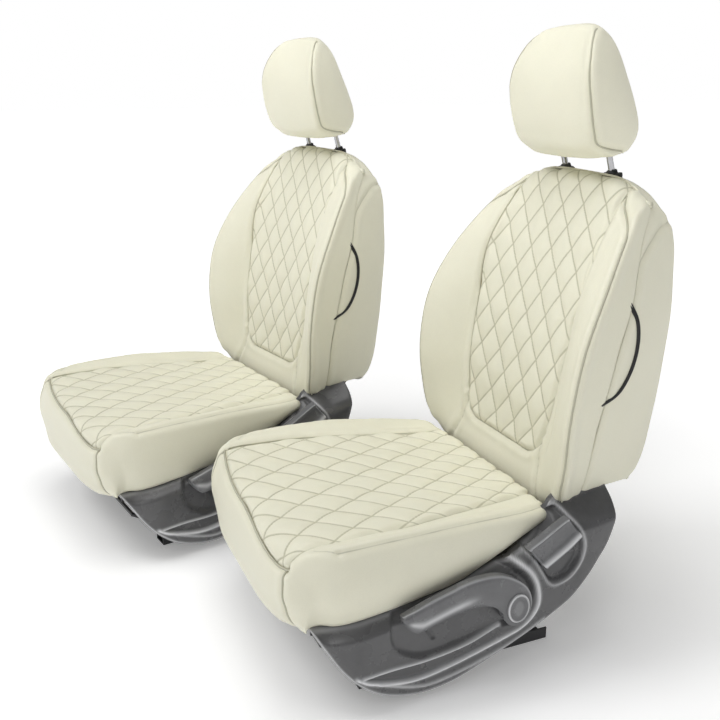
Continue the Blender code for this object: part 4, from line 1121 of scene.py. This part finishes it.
def d2(Y, Z, pts, n=8):
    L = seg_line(pts, n)
    P = np.stack([Y.ravel(), Z.ravel(), 0 * Y.ravel()], 1)
    L3 = np.concatenate([L, np.zeros((len(L), 1))], 1)
    d, al = dist_to(P, L3)
    return d.reshape(Y.shape), al.reshape(Y.shape)


def inside(Y, Z, poly):
    p = np.asarray(poly, float)
    r = np.zeros(Y.shape, bool)
    for k in range(len(p)):
        (y0, z0), (y1, z1) = p[k], p[(k + 1) % len(p)]
        hit = ((z0 > Z) != (z1 > Z)) & (Y < (y1 - y0) * (Z - z0) / (z1 - z0 + 1e-12) + y0)
        r ^= hit
    return r


def signed(Y, Z, poly, n=6):
    """Distance to a closed outline, positive inside."""
    loop = list(poly) + [poly[0]]
    L = seg_line(loop, n)
    P = np.stack([Y.ravel(), Z.ravel(), 0 * Y.ravel()], 1)
    d, _ = dist_to(P, np.concatenate([L, np.zeros((len(L), 1))], 1))
    return np.where(inside(Y, Z, L), 1, -1) * d.reshape(Y.shape)


OUT_RIDGE = [(-.165, -.025), (-.136, -.022), (-.102, -.031), (-.07, -.056), (-.052, -.089), (-.049, -.129),
             (-.074, -.16), (-.123, -.177), (-.219, -.201), (-.289, -.21), (-.357, -.197), (-.384, -.184)]
LOW_RIDGE = [(-.348, -.202), (-.284, -.224), (-.242, -.227), (-.17, -.213), (-.097, -.191), (-.033, -.161)]
IN_RIDGE = [(-.123, -.149), (-.195, -.169), (-.265, -.178), (-.329, -.179), (-.382, -.184)]
PAD_RECESS = [(-.079, -.015), (-.040, .010), (.001, .031), (.020, .014), (.032, -.006), (.04, -.032), (.035, -.06),
              (.016, -.085), (-.01, -.094), (-.026, -.088), (-.04, -.067), (-.057, -.039)]
LEVER_RECESS = [(-.318, -.085), (-.223, -.052), (-.163, -.034), (-.129, -.035), (-.089, -.052), (-.062, -.086),
                (-.060, -.125), (-.085, -.150), (-.123, -.152), (-.195, -.165), (-.265, -.172), (-.315, -.150),
                (-.328, -.115)]


def trim_surface(outer=True):
    top = np.array(TOP if outer else TOP_IN, float)
    low = np.array(LOW if outer else LOW_IN, float)
    tf = spline(top[:, 0], top[:, 1])
    lf = spline(low[:, 0], low[:, 1])
    ny, nz = (210, 92) if outer else (120, 50)
    w_ = np.linspace(0, 1, ny)
    w_ = .6 * w_ + .4 * .5 * (1 - np.cos(np.pi * w_))
    y = (-.449 + w_ * (top[-1, 0] + .449))[None]
    # denser steps where the outline is steep at both ends
    v = np.linspace(0, 1, nz)[:, None]
    zt, zb = tf(y), lf(y)
    Y = np.broadcast_to(y, (nz, ny))
    Z = zb + (zt - zb) * v
    base = TRIM_X1 + 0 * Y
    # painted highlight mask, brightest along the moulded ridges and rims
    ridge = 0 * Y
    # soft roll at the top and bottom edges
    dt, db = (zt - Z), (Z - zb)
    roll = .0055
    base = base - roll * np.exp(-np.maximum(dt, 0) / .004) - roll * 1.3 * np.exp(-np.maximum(db, 0) / .005)
    # towards the top it slopes in under the cushion's skirt, more at the rear, under the backrest
    rear = smooth(-.060, .018, Y)
    base = base - (.0185 + .0300 * rear) * (1 - smooth(0, .026 + .030 * rear, dt)) ** 1.2
    # the front end turns inward
    f = np.clip((-.36 - Y) / .089, 0, 1)
    base = base - .030 * f ** 2
    # slight barrel
    base = base + .0035 * np.sin(np.pi * v) - .0015
    if outer:
        s = signed(Y, Z, LEVER_RECESS)
        base = base - .0095 * smooth(-.0035, .0075, s)
        d, al = d2(Y, Z, OUT_RIDGE)
        e = np.exp(-(d / .0042) ** 2)
        base = base + .0040 * e
        ridge = np.maximum(ridge, e)
        d, al = d2(Y, Z, IN_RIDGE)
        e = np.exp(-(d / .0032) ** 2)
        base = base + .0030 * e
        ridge = np.maximum(ridge, .8 * e)
        chan = OUT_RIDGE[7:] + IN_RIDGE[::-1]
        s = signed(Y, Z, chan)
        base = base - .0045 * smooth(.001, .007, s)
        d, al = d2(Y, Z, LOW_RIDGE)
        e = np.exp(-(d / .0036) ** 2)
        base = base + .0022 * e
        ridge = np.maximum(ridge, .55 * e)
        s = signed(Y, Z, PAD_RECESS)
        base = base - .0125 * smooth(-.0015, .0060, s)
        e = np.exp(-((s + .0025) / .0028) ** 2)
        ridge = np.maximum(ridge, .55 * e)
        base = base + .0012 * e
        # the finger slot
        p0, p1 = np.array([-.259, -.125]), np.array([-.247, -.145])
        P = np.stack([Y.ravel(), Z.ravel(), 0 * Y.ravel()], 1)
        d, _ = dist_to(P, np.array([[*p0, 0], [*p1, 0]]))
        base = base - .0045 * (1 - smooth(.0022, .0046, d.reshape(Y.shape)))
    else:
        d, al = d2(Y, Z, LOW_RIDGE)
        e = np.exp(-(d / .004) ** 2)
        base = base + .0025 * e
        ridge = np.maximum(ridge, .6 * e)
    # painted highlight along the lower and front rim
    ridge = np.maximum(ridge, .55 * np.exp(-((db - .004) / .0035) ** 2))
    ridge = np.maximum(ridge, .30 * np.exp(-((dt - .004) / .003) ** 2))
    P = np.stack([base, Y, Z], -1)
    s = Form()
    s.patch(P, ridge=ridge)
    # flange under the skirt
    w = np.linspace(0, 1, 6)[:, None]
    topx = base[-1][None]
    F = np.stack([topx - w * .012, np.broadcast_to(y, (6, ny)),
                  Z[-1][None] + .0015 * np.sin(w * 1.57) - .002 * w + 0 * y], -1)
    s.patch(F, ridge=0.0 * F[..., 0])
    w = np.linspace(0, 1, 5)[:, None]
    B = np.stack([base[0][None] - w * .010, np.broadcast_to(y, (5, ny)), Z[0][None] - .0015 * np.sin(w * 1.57) + .003 * w ** 2], -1)
    s.patch(B, flip=True, ridge=0.0 * B[..., 0])
    s.weld()
    s.A["ridge"] = np.clip(s.A["ridge"], 0, 1)
    N = s.normals()
    if N[:, 0].mean() < 0:
        s.quads, s.tris = s.quads[:, ::-1], s.tris[:, ::-1]
    out = shell(s, .0026)
    return out


def mirror(s):
    s.V = s.V * np.array([-1, 1, 1])
    s.quads, s.tris = s.quads[:, ::-1], s.tris[:, ::-1]
    return s


# ------------------------------------------------------------------ levers, by outline
def loft_outline(name, outline, levels, ridge_at=None, smooth_n=6):
    """A moulded plate: the outline at several heights x, drawn in by inset, and a filled top."""
    L = seg_line(list(outline) + [outline[0]], smooth_n)[:-1]
    n = len(L)
    area = .5 * np.sum(L[:, 0] * np.roll(L[:, 1], -1) - np.roll(L[:, 0], -1) * L[:, 1])
    T = np.roll(L, -1, 0) - np.roll(L, 1, 0)
    T /= np.linalg.norm(T, axis=1, keepdims=True)
    inn = np.stack([-T[:, 1], T[:, 0]], 1) * np.sign(area)
    bm = bmesh.new()
    lay = bm.verts.layers.float.new("ridge")
    rings = []
    # the third value of each level is the painted highlight on that ring
    for x, inset, rd in levels:
        P = L + inn * inset
        ring = [bm.verts.new((x, p[0], p[1])) for p in P]
        for v_ in ring:
            v_[lay] = rd
        rings.append(ring)
    for r0, r1 in zip(rings[:-1], rings[1:]):
        for k in range(n):
            q = (k + 1) % n
            bm.faces.new((r0[k], r0[q], r1[q], r1[k]))
    bm.faces.new(rings[-1])
    bm.faces.new(rings[0][::-1])
    bmesh.ops.triangulate(bm, faces=[f for f in bm.faces if len(f.verts) > 4])
    bmesh.ops.recalc_face_normals(bm, faces=bm.faces)
    if bm.calc_volume(signed=True) < 0:
        bmesh.ops.reverse_faces(bm, faces=bm.faces)
    me = bpy.data.meshes.new(name)
    bm.to_mesh(me)
    bm.free()
    me.shade_smooth()
    me.set_sharp_from_angle(angle=math.radians(42))
    return me


LEVER_OUT = [(-.313, -.075), (-.270, -.062), (-.231, -.051), (-.185, -.041), (-.138, -.043), (-.103, -.058),
             (-.082, -.078), (-.073, -.104), (-.078, -.132), (-.097, -.146), (-.118, -.141), (-.129, -.124),
             (-.149, -.101), (-.183, -.094), (-.229, -.101), (-.275, -.113), (-.290, -.114), (-.305, -.101),
             (-.315, -.086)]
PADDLE_OUT = [(-.077, -.014), (-.050, .003), (-.022, .020), (-.002, .029), (.010, .022), (.022, .004), (.029, -.010),
              (.020, -.020), (-.006, -.036), (-.030, -.050), (-.041, -.056), (-.050, -.049), (-.064, -.031)]
ang = np.linspace(0, 2 * np.pi, 49)[:-1]
cap_out = [(-.101 + .0215 * math.cos(t), -.1095 + .0270 * math.sin(t)) for t in ang]
# the hub cap's rim chamfer carries a painted highlight
cap_me = loft_outline("cap", cap_out,
                      [(.3060, 0, .2), (.3086, .0002, .2), (.3102, .0014, .9), (.3108, .0032, .45), (.3098, .0048, 0),
                       (.3094, .0105, 0), (.3098, .0150, .1)], smooth_n=1)


def ruled(top, low, n, prof, name, wall=.289):
    """A moulding between two edge lines; prof(u, v) is its height in x, v from 0 at low to 1 at top."""
    def even(p):
        L = seg_line(p, 10)
        t = np.concatenate([[0], np.cumsum(np.linalg.norm(np.diff(L, axis=0), axis=1))])
        f = np.linspace(0, t[-1], n)
        return np.stack([np.interp(f, t, L[:, 0]), np.interp(f, t, L[:, 1])], 1)
    A, B = even(low), even(top)
    nv = 34
    v = .5 - .5 * np.cos(np.linspace(0, 1, nv) * np.pi)
    u = np.linspace(0, 1, n)
    YZ = A[None] + v[:, None, None] * (B - A)[None]
    X, R = prof(u[None] + 0 * v[:, None], v[:, None] + 0 * u[None])
    P = np.concatenate([X[..., None], YZ], -1)
    s = Form()
    s.patch(P, ridge=R)
    # walls on all four sides, down to x = wall
    for E, fl in ((P[0], True), (P[-1], False), (P[:, 0], False), (P[:, -1], True)):
        w = np.linspace(0, 1, 6)[:, None]
        Q = np.repeat(E[None], 6, 0)
        Q[..., 0] = E[None, :, 0] + (wall - E[None, :, 0]) * w
        s.patch(Q, flip=fl, ridge=0.0 * Q[..., 0])
    back_ = P.copy()
    back_[..., 0] = wall
    s.patch(back_, flip=True, ridge=0.0 * back_[..., 0])
    s.weld(1e-6)
    s.A["ridge"] = np.clip(s.A["ridge"], 0, 1)
    c = s.V.mean(0)
    N = s.normals()
    g = s.g[0]
    if N[g[5:-5, 5:-5]].reshape(-1, 3)[:, 0].mean() < 0:
        s.quads, s.tris = s.quads[:, ::-1], s.tris[:, ::-1]
    edge = np.zeros(len(s.V))
    for L in (s.V[g[0]], s.V[g[-1]], s.V[g[:, 0]], s.V[g[:, -1]]):
        d_, _ = dist_to(s.V, L)
        edge = np.maximum(edge, np.exp(-(d_ / .0022) ** 2))
    s.relax(edge, n=6)
    return s


LEV_TOP = [(-.314, -.078), (-.270, -.062), (-.231, -.051), (-.185, -.0405), (-.138, -.0425), (-.103, -.058),
           (-.0815, -.078), (-.0725, -.104), (-.078, -.130)]
LEV_LOW = [(-.314, -.086), (-.304, -.101), (-.288, -.114), (-.275, -.1135), (-.229, -.101), (-.183, -.0935),
           (-.149, -.0995), (-.131, -.113), (-.1255, -.128), (-.115, -.1405), (-.098, -.1455), (-.086, -.140)]


def lever_prof(u, v):
    dome = 1 - np.abs(2 * v - 1.06) ** 2.6
    x = .2995 + .0080 * np.clip(dome, 0, 1) ** .8
    x = x - .0030 * smooth(.10, 0, u)
    # a fine step that runs along the arm, and the flatter strip below it
    k = smooth(.035, .09, u) * (1 - smooth(.40, .56, u))
    x = x - .0012 * k * np.exp(-((v - .50) / .035) ** 2)
    hub = smooth(.66, .80, u)
    x = x * (1 - hub) + hub * (.3052 + .0012 * np.clip(dome, 0, 1))
    # painted highlight: a bright band along the arm below the step, and along the upper rim
    r = .62 * k * np.exp(-((v - .36) / .11) ** 2) + .30 * np.exp(-((v - .97) / .03) ** 2)
    return x, r


PAD_TOP = [(-.0785, -.0125), (-.052, .0015), (-.024, .018), (-.001, .0305)]
PAD_LOW = [(-.0405, -.0565), (-.018, -.043), (.006, -.028), (.0295, -.0085)]


def paddle_prof(u, v):
    x = .2955 - .0040 * np.sin(np.pi * np.clip((v - .30) / .70, 0, 1)) ** .8
    lip = np.exp(-((v - .15) / .12) ** 2)
    x = x + .0052 * lip + .0016 * np.exp(-((v - .96) / .05) ** 2)
    x = x + .0014 * (np.exp(-((u - .03) / .03) ** 2) + np.exp(-((u - .97) / .03) ** 2)) * (1 - lip)
    # painted highlight along the lip and the upper rim
    return x, .75 * np.exp(-((v - .17) / .09) ** 2) + .4 * np.exp(-((v - .97) / .03) ** 2)


lev = ruled(LEV_TOP, LEV_LOW, 150, lever_prof, "lever")
surf_piece("height_lever_moulding", lev, "height_lever", M_LEVER, ["height_lever"])
pad_ = ruled(PAD_TOP, PAD_LOW, 70, paddle_prof, "paddle", wall=.2785)
place("height_lever_hub", cap_me, "height_lever", M_LEVER, ["height_lever_cap"])
surf_piece("recline_paddle", pad_, "recline_lever", M_LEVER, ["recline_lever"])

t_out = trim_surface(True)
surf_piece("side_trim_outer", t_out, "cushion", M_TRIM, ["valance_outer"])
t_in = mirror(trim_surface(False))
surf_piece("side_trim_inner", t_in, "cushion", M_TRIM, ["valance_inner"])

# ------------------------------------------------------------------ covers into the scene
cq = cushion_quilt()
surf_piece("cushion_quilt", shell(cq, .0070), "cushion", M_QCUSH, ["cushion_quilt_cover"])
cbd, clines, cpipes = cushion_border()
surf_piece("cushion_side_panels", shell(cbd, .0055), "cushion", M_SMOOTH,
           ["cushion_border_cover"])
bq = back_quilt()
surf_piece("back_quilt", shell(bq, .0065), "back", M_QBACK, ["back_quilt_cover"])
bf, blines, bpipes = back_front()
surf_piece("back_bolsters", shell(bf, .0055), "back", M_SMOOTH, ["back_bolster_cover"])
br, rlines = back_rear()
surf_piece("back_rear_panel", shell(br, .0040), "back", M_SMOOTH, ["back_rear_cover"])
hd, hlines, hpipes = headrest()
me = raw_mesh("head", hd.V, hd.quads, hd.tris, hd.A)
place("headrest_cushion", me, "headrest", M_SMOOTH, ["headrest_cover"])


def nearest_on(s, L, off):
    """Moves a line onto the finished surface, off above it."""
    from mathutils.kdtree import KDTree
    kd = KDTree(len(s.V))
    for i, v_ in enumerate(s.V):
        kd.insert(v_, i)
    kd.balance()
    N = s.normals()
    out = []
    for p in L:
        pts = kd.find_n(p, 6)
        w = np.array([1 / (q[2] + .0005) for q in pts])
        w /= w.sum()
        c = sum(wi * s.V[q[1]] for wi, q in zip(w, pts))
        nn = sum(wi * N[q[1]] for wi, q in zip(w, pts))
        nn /= np.linalg.norm(nn)
        d = (np.asarray(p) - c) @ nn
        out.append(np.asarray(p) + nn * (off - d))
    out = np.array(out)
    for _ in range(3):
        out[1:-1] = .5 * out[1:-1] + .25 * (out[:-2] + out[2:])
    return out


def piping(name, s, pipes, r, off, body, pad=None):
    parts = []
    for L in pipes:
        step = max(1, int(len(L) / 140))
        M = nearest_on(s, L[::step], off)
        parts.append(tube_mesh("t", M, r, 8))
    return place(name, join_raw(name, parts), body, M_PIPE)


piping("cushion_piping", cbd, cpipes, .0022, .0002, "cushion")
piping("back_piping", bf, bpipes, .0020, .0002, "back")
piping("headrest_piping", hd, hpipes, .0017, .0001, "headrest")


def zip_end():
    """End of the zip under the headrest's rear edge on the outer side."""
    g = hd.g[4]
    nc, na = g.shape
    L = at(hd, g, np.full(9, .86 * (nc - 1)), np.linspace(.86, .95, 9) * (na - 1))
    L[:, 2] -= .0012
    return place("headrest_zip_end", join_raw("zip", [tube_mesh("z", L, .0021, 10, flat=.7)]), "headrest",
                 M_CORD)


zip_end()


# ------------------------------------------------------------------ foam blocks under the covers
def foam_piece(name, fn, b0, b1, cfun, body, node, off):
    n, na, nc = 50, 40, 8
    b = np.linspace(b0, b1, n)[:, None]
    a = np.linspace(-1, 1, na)[None]
    c = np.linspace(0, 1, nc)
    s = Form()
    s.patch(fn(a, b, 0.0 * b, off))
    s.patch(fn(a, b, cfun(b), off), flip=True)
    for sg in (-1, 1):
        s.patch(fn(sg * np.ones_like(c)[None], b, c[None] * cfun(b), off), flip=sg < 0)
    s.patch(fn(a, b[:1], c[:, None] * cfun(b[:1]), off), flip=True)
    s.patch(fn(a, b[-1:], c[:, None] * cfun(b[-1:]), off))
    s.weld()
    if fn is cushion:
        front_shape(s)
    orient(s, s.V.mean(0))
    s.relax(np.full(len(s.V), .6), n=3)
    s.displace(.0006 * wob3(s.V, 51, .05))
    me_ = raw_mesh(name, s.V, s.quads, s.tris)
    place(name, me_, body, M_FOAM, [node])


foam_piece("cushion_foam_block", cushion, .08, .955, lambda b: np.where(b > 0, .80, .80), "cushion", "cushion_foam", .0150)
foam_piece("back_foam_block", back, .10, .93, lambda b: FOAM_DEPTH(b) * .96, "back", "back_foam", .0150)
foam_piece("headrest_foam_block", head, .10, .94, lambda b: 1.0 + 0 * b, "headrest", "headrest_foam", .0110)


# ------------------------------------------------------------------ airbag opening: two black cords on the side panel
def opening_cords():
    g = br.g[1]
    n, nc = g.shape
    bs = bb_(np.linspace(bt(.125), bt(1.0), n))
    parts = []
    for gap in (0.0, .0042):
        zs = np.array([.383, .352, .323, .289, .257, .232, .214])
        ys = np.array([.119, .1335, .138, .134, .121, .100, .064]) + gap
        pts = seg_line(np.stack([ys, zs], 1), 8)
        out = []
        for y_, z_ in pts:
            k = np.argmin((br.V[g][:, :, 1] - y_) ** 2 + (br.V[g][:, :, 2] - z_) ** 2)
            p = br.V[g].reshape(-1, 3)[k]
            out.append((p[0], y_, z_))
        out = np.array(out)
        for _ in range(12):
            out[1:-1, 0] = .5 * out[1:-1, 0] + .25 * (out[:-2, 0] + out[2:, 0])
        out[:, 0] += .0010
        parts.append(tube_mesh("c", out, .0020, 8))
    me_ = join_raw("cords", parts)
    place("airbag_opening_beading", me_, "back", M_CORD, ["airbag_opening_cord"])


opening_cords()


# ------------------------------------------------------------------ finish of the CAD nodes that stay
def finish_nodes(mat, *names):
    for pre, *_ in SEATS:
        for nme in names:
            ob = bpy.data.objects[f"{pre}_{nme}"]
            for sl in ob.material_slots:
                sl.link = "OBJECT"
                sl.material = mat




def guide(sx):
    """Oval collar of a headrest guide, bedded in the quilt, with a raised ring round the post."""
    t = math.radians(POST_LEAN)
    ax = np.array([0, -math.sin(t), math.cos(t)])
    ex, ey = np.array([1.0, 0, 0]), np.array([0, math.cos(t), math.sin(t)])
    y0, z0 = post_point(.0)
    o = np.array([sx, y0, z0])
    prof = [(.0235, .0095, -.006), (.0240, .0100, -.001), (.0238, .0098, .0022), (.0226, .0086, .0036),
            (.0200, .0080, .0040), (.0125, .0082, .0042), (.0108, .0090, .0050), (.0098, .0092, .0085),
            (.0088, .0086, .0096), (.0066, .0066, .0096), (.0064, .0064, .0080), (.0064, .0064, -.006)]
    n = 56
    a = np.linspace(0, 2 * np.pi, n + 1)
    s = Form()
    P = np.stack([o + np.cos(a)[:, None] * ex * rx + np.sign(np.sin(a))[:, None] * (np.abs(np.sin(a)) ** .85)[:, None]
                  * ey * ry + ax * h for rx, ry, h in prof + prof[:1]])
    s.patch(P, ridge=0.0 * P[..., 0])
    s.weld(1e-6)
    orient(s, o + ax * .002)
    return s


def refine(s_, name, body, mat, nodes):
    me_ = raw_mesh(name, s_.V, s_.quads, s_.tris)
    return place(name, me_, body, mat, nodes, sharp=50)


refine(guide(POST_X), "headrest_guide_collar_outer", "back", M_BLACK, ["headrest_guide_outer"])
refine(guide(-POST_X), "headrest_guide_collar_inner", "back", M_BLACK, ["headrest_guide_inner"])


def button():
    """The unlocking button on the outer collar: a small rounded key."""
    t = math.radians(POST_LEAN)
    ax = np.array([0, -math.sin(t), math.cos(t)])
    ey = np.array([0, math.cos(t), math.sin(t)])
    y0, z0 = post_point(.0)
    o = np.array([POST_X + .0215, y0, z0])
    a = np.linspace(0, 2 * np.pi, 33)
    prof = [(.0052, .0044, .001), (.0054, .0046, .0050), (.0050, .0042, .0064), (.0036, .0028, .0070), (.0001, .0001, .0070)]
    prof = [(.0001, .0001, .001)] + prof
    P = np.stack([o + np.cos(a)[:, None] * np.array([1.0, 0, 0]) * rx + np.sin(a)[:, None] * ey * ry + ax * h
                  for rx, ry, h in prof])
    s = Form()
    s.patch(P, ridge=0.0 * P[..., 0])
    s.weld(2e-4)
    orient(s, o + ax * .003)
    return s


refine(button(), "headrest_unlock_key", "headrest_button", M_BLACK, ["headrest_button"])

NODE_OBJECTS = [o.name for o in bpy.data.objects if "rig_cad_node" in o]
print("nodes", len(NODE_OBJECTS), NODE_OBJECTS[:4])
finish_nodes(M_STEEL, "rail_lower_outer", "rail_lower_inner", "rail_slider_outer", "rail_slider_inner",
             "lift_link_front", "lift_link_rear", "cushion_pan", "side_plate_outer", "side_plate_inner",
             "back_frame", "slide_release_bar")
finish_nodes(M_CHROME, "headrest_posts")

# ------------------------------------------------------------------ floor, camera, light
bpy.ops.mesh.primitive_plane_add(size=60, location=(0, 0, -.0005))
floor = bpy.context.object
floor.name = "studio_floor"
fm = G("studio_floor_paint")
fco = fm.n("ShaderNodeTexCoord").outputs["Object"]
fn_ = fm.n("ShaderNodeTexNoise", Scale=1.5, Detail=3.0)
fm.link(fco, fn_.inputs["Vector"])
fm.link(fm.mix(fm.ramp(fn_.outputs["Fac"], .3, .7), (.90, .90, .90, 1), (.93, .93, .93, 1)), fm.b.inputs["Base Color"])
fm.b.inputs["Roughness"].default_value = .9
fm.b.inputs["Emission Color"].default_value = (1, 1, 1, 1)
fln = fm.n("ShaderNodeVectorMath", operation="LENGTH")
fm.link(fco, fln.inputs[0])
fm.link(fm.ramp(fln.outputs["Value"], .8, 2.6, .24, .80), fm.b.inputs["Emission Strength"])
floor.data.materials.append(fm.m)

az, el = math.radians(66.67934908757911), math.radians(17.386564750607732)
d = Vector((-math.sin(az) * math.cos(el), math.cos(az) * math.cos(el), -math.sin(el)))
cam_data = bpy.data.cameras.new("studio_camera")
cam_data.lens, cam_data.sensor_width = 45.0, 36.0
cam_data.clip_end = 100
cam = bpy.data.objects.new("studio_camera", cam_data)
bpy.context.scene.collection.objects.link(cam)
cam.location = (1.4126041 + .3407, -.8675671 + .260, .7402338 + .262)
cam.rotation_euler = d.to_track_quat("-Z", "Y").to_euler()
bpy.context.scene.camera = cam


def area(name, loc, aim, size, power, color=(1, 1, 1)):
    li = bpy.data.lights.new(name, "AREA")
    li.shape = "RECTANGLE"
    li.size, li.size_y = size
    li.energy = power
    li.color = color
    ob = bpy.data.objects.new(name, li)
    bpy.context.scene.collection.objects.link(ob)
    ob.location = loc
    ob.rotation_euler = (Vector(aim) - Vector(loc)).to_track_quat("-Z", "Y").to_euler()
    return ob


area("key_light", (-.7, -2.3, 3.5), (0, 0, .4), (1.6, 1.3), 46)
area("top_light", (.2, -.2, 3.4), (0, 0, .3), (2.2, 2.2), 48)
area("rim_light", (2.6, -1.6, 3.0), (.2, 0, .2), (.9, 1.6), 14)

world = bpy.data.worlds.new("studio_world")
bpy.context.scene.world = world
world.use_nodes = True
wt = world.node_tree
bg = wt.nodes["Background"]
tc = wt.nodes.new("ShaderNodeTexCoord")
sx = wt.nodes.new("ShaderNodeSeparateXYZ")
mr = wt.nodes.new("ShaderNodeMapRange")
mr.interpolation_type = "SMOOTHSTEP"
mr.inputs["From Min"].default_value, mr.inputs["From Max"].default_value = .09, .14
mr.inputs["To Min"].default_value, mr.inputs["To Max"].default_value = 1.0, .24
wt.links.new(tc.outputs["Generated"], sx.inputs[0])
wt.links.new(sx.outputs[2], mr.inputs["Value"])
wt.links.new(mr.outputs[0], bg.inputs["Strength"])
bg.inputs["Color"].default_value = (1, 1, 1, 1)
bpy.context.scene.view_settings.view_transform = "Standard"

bpy.context.view_layer.update()
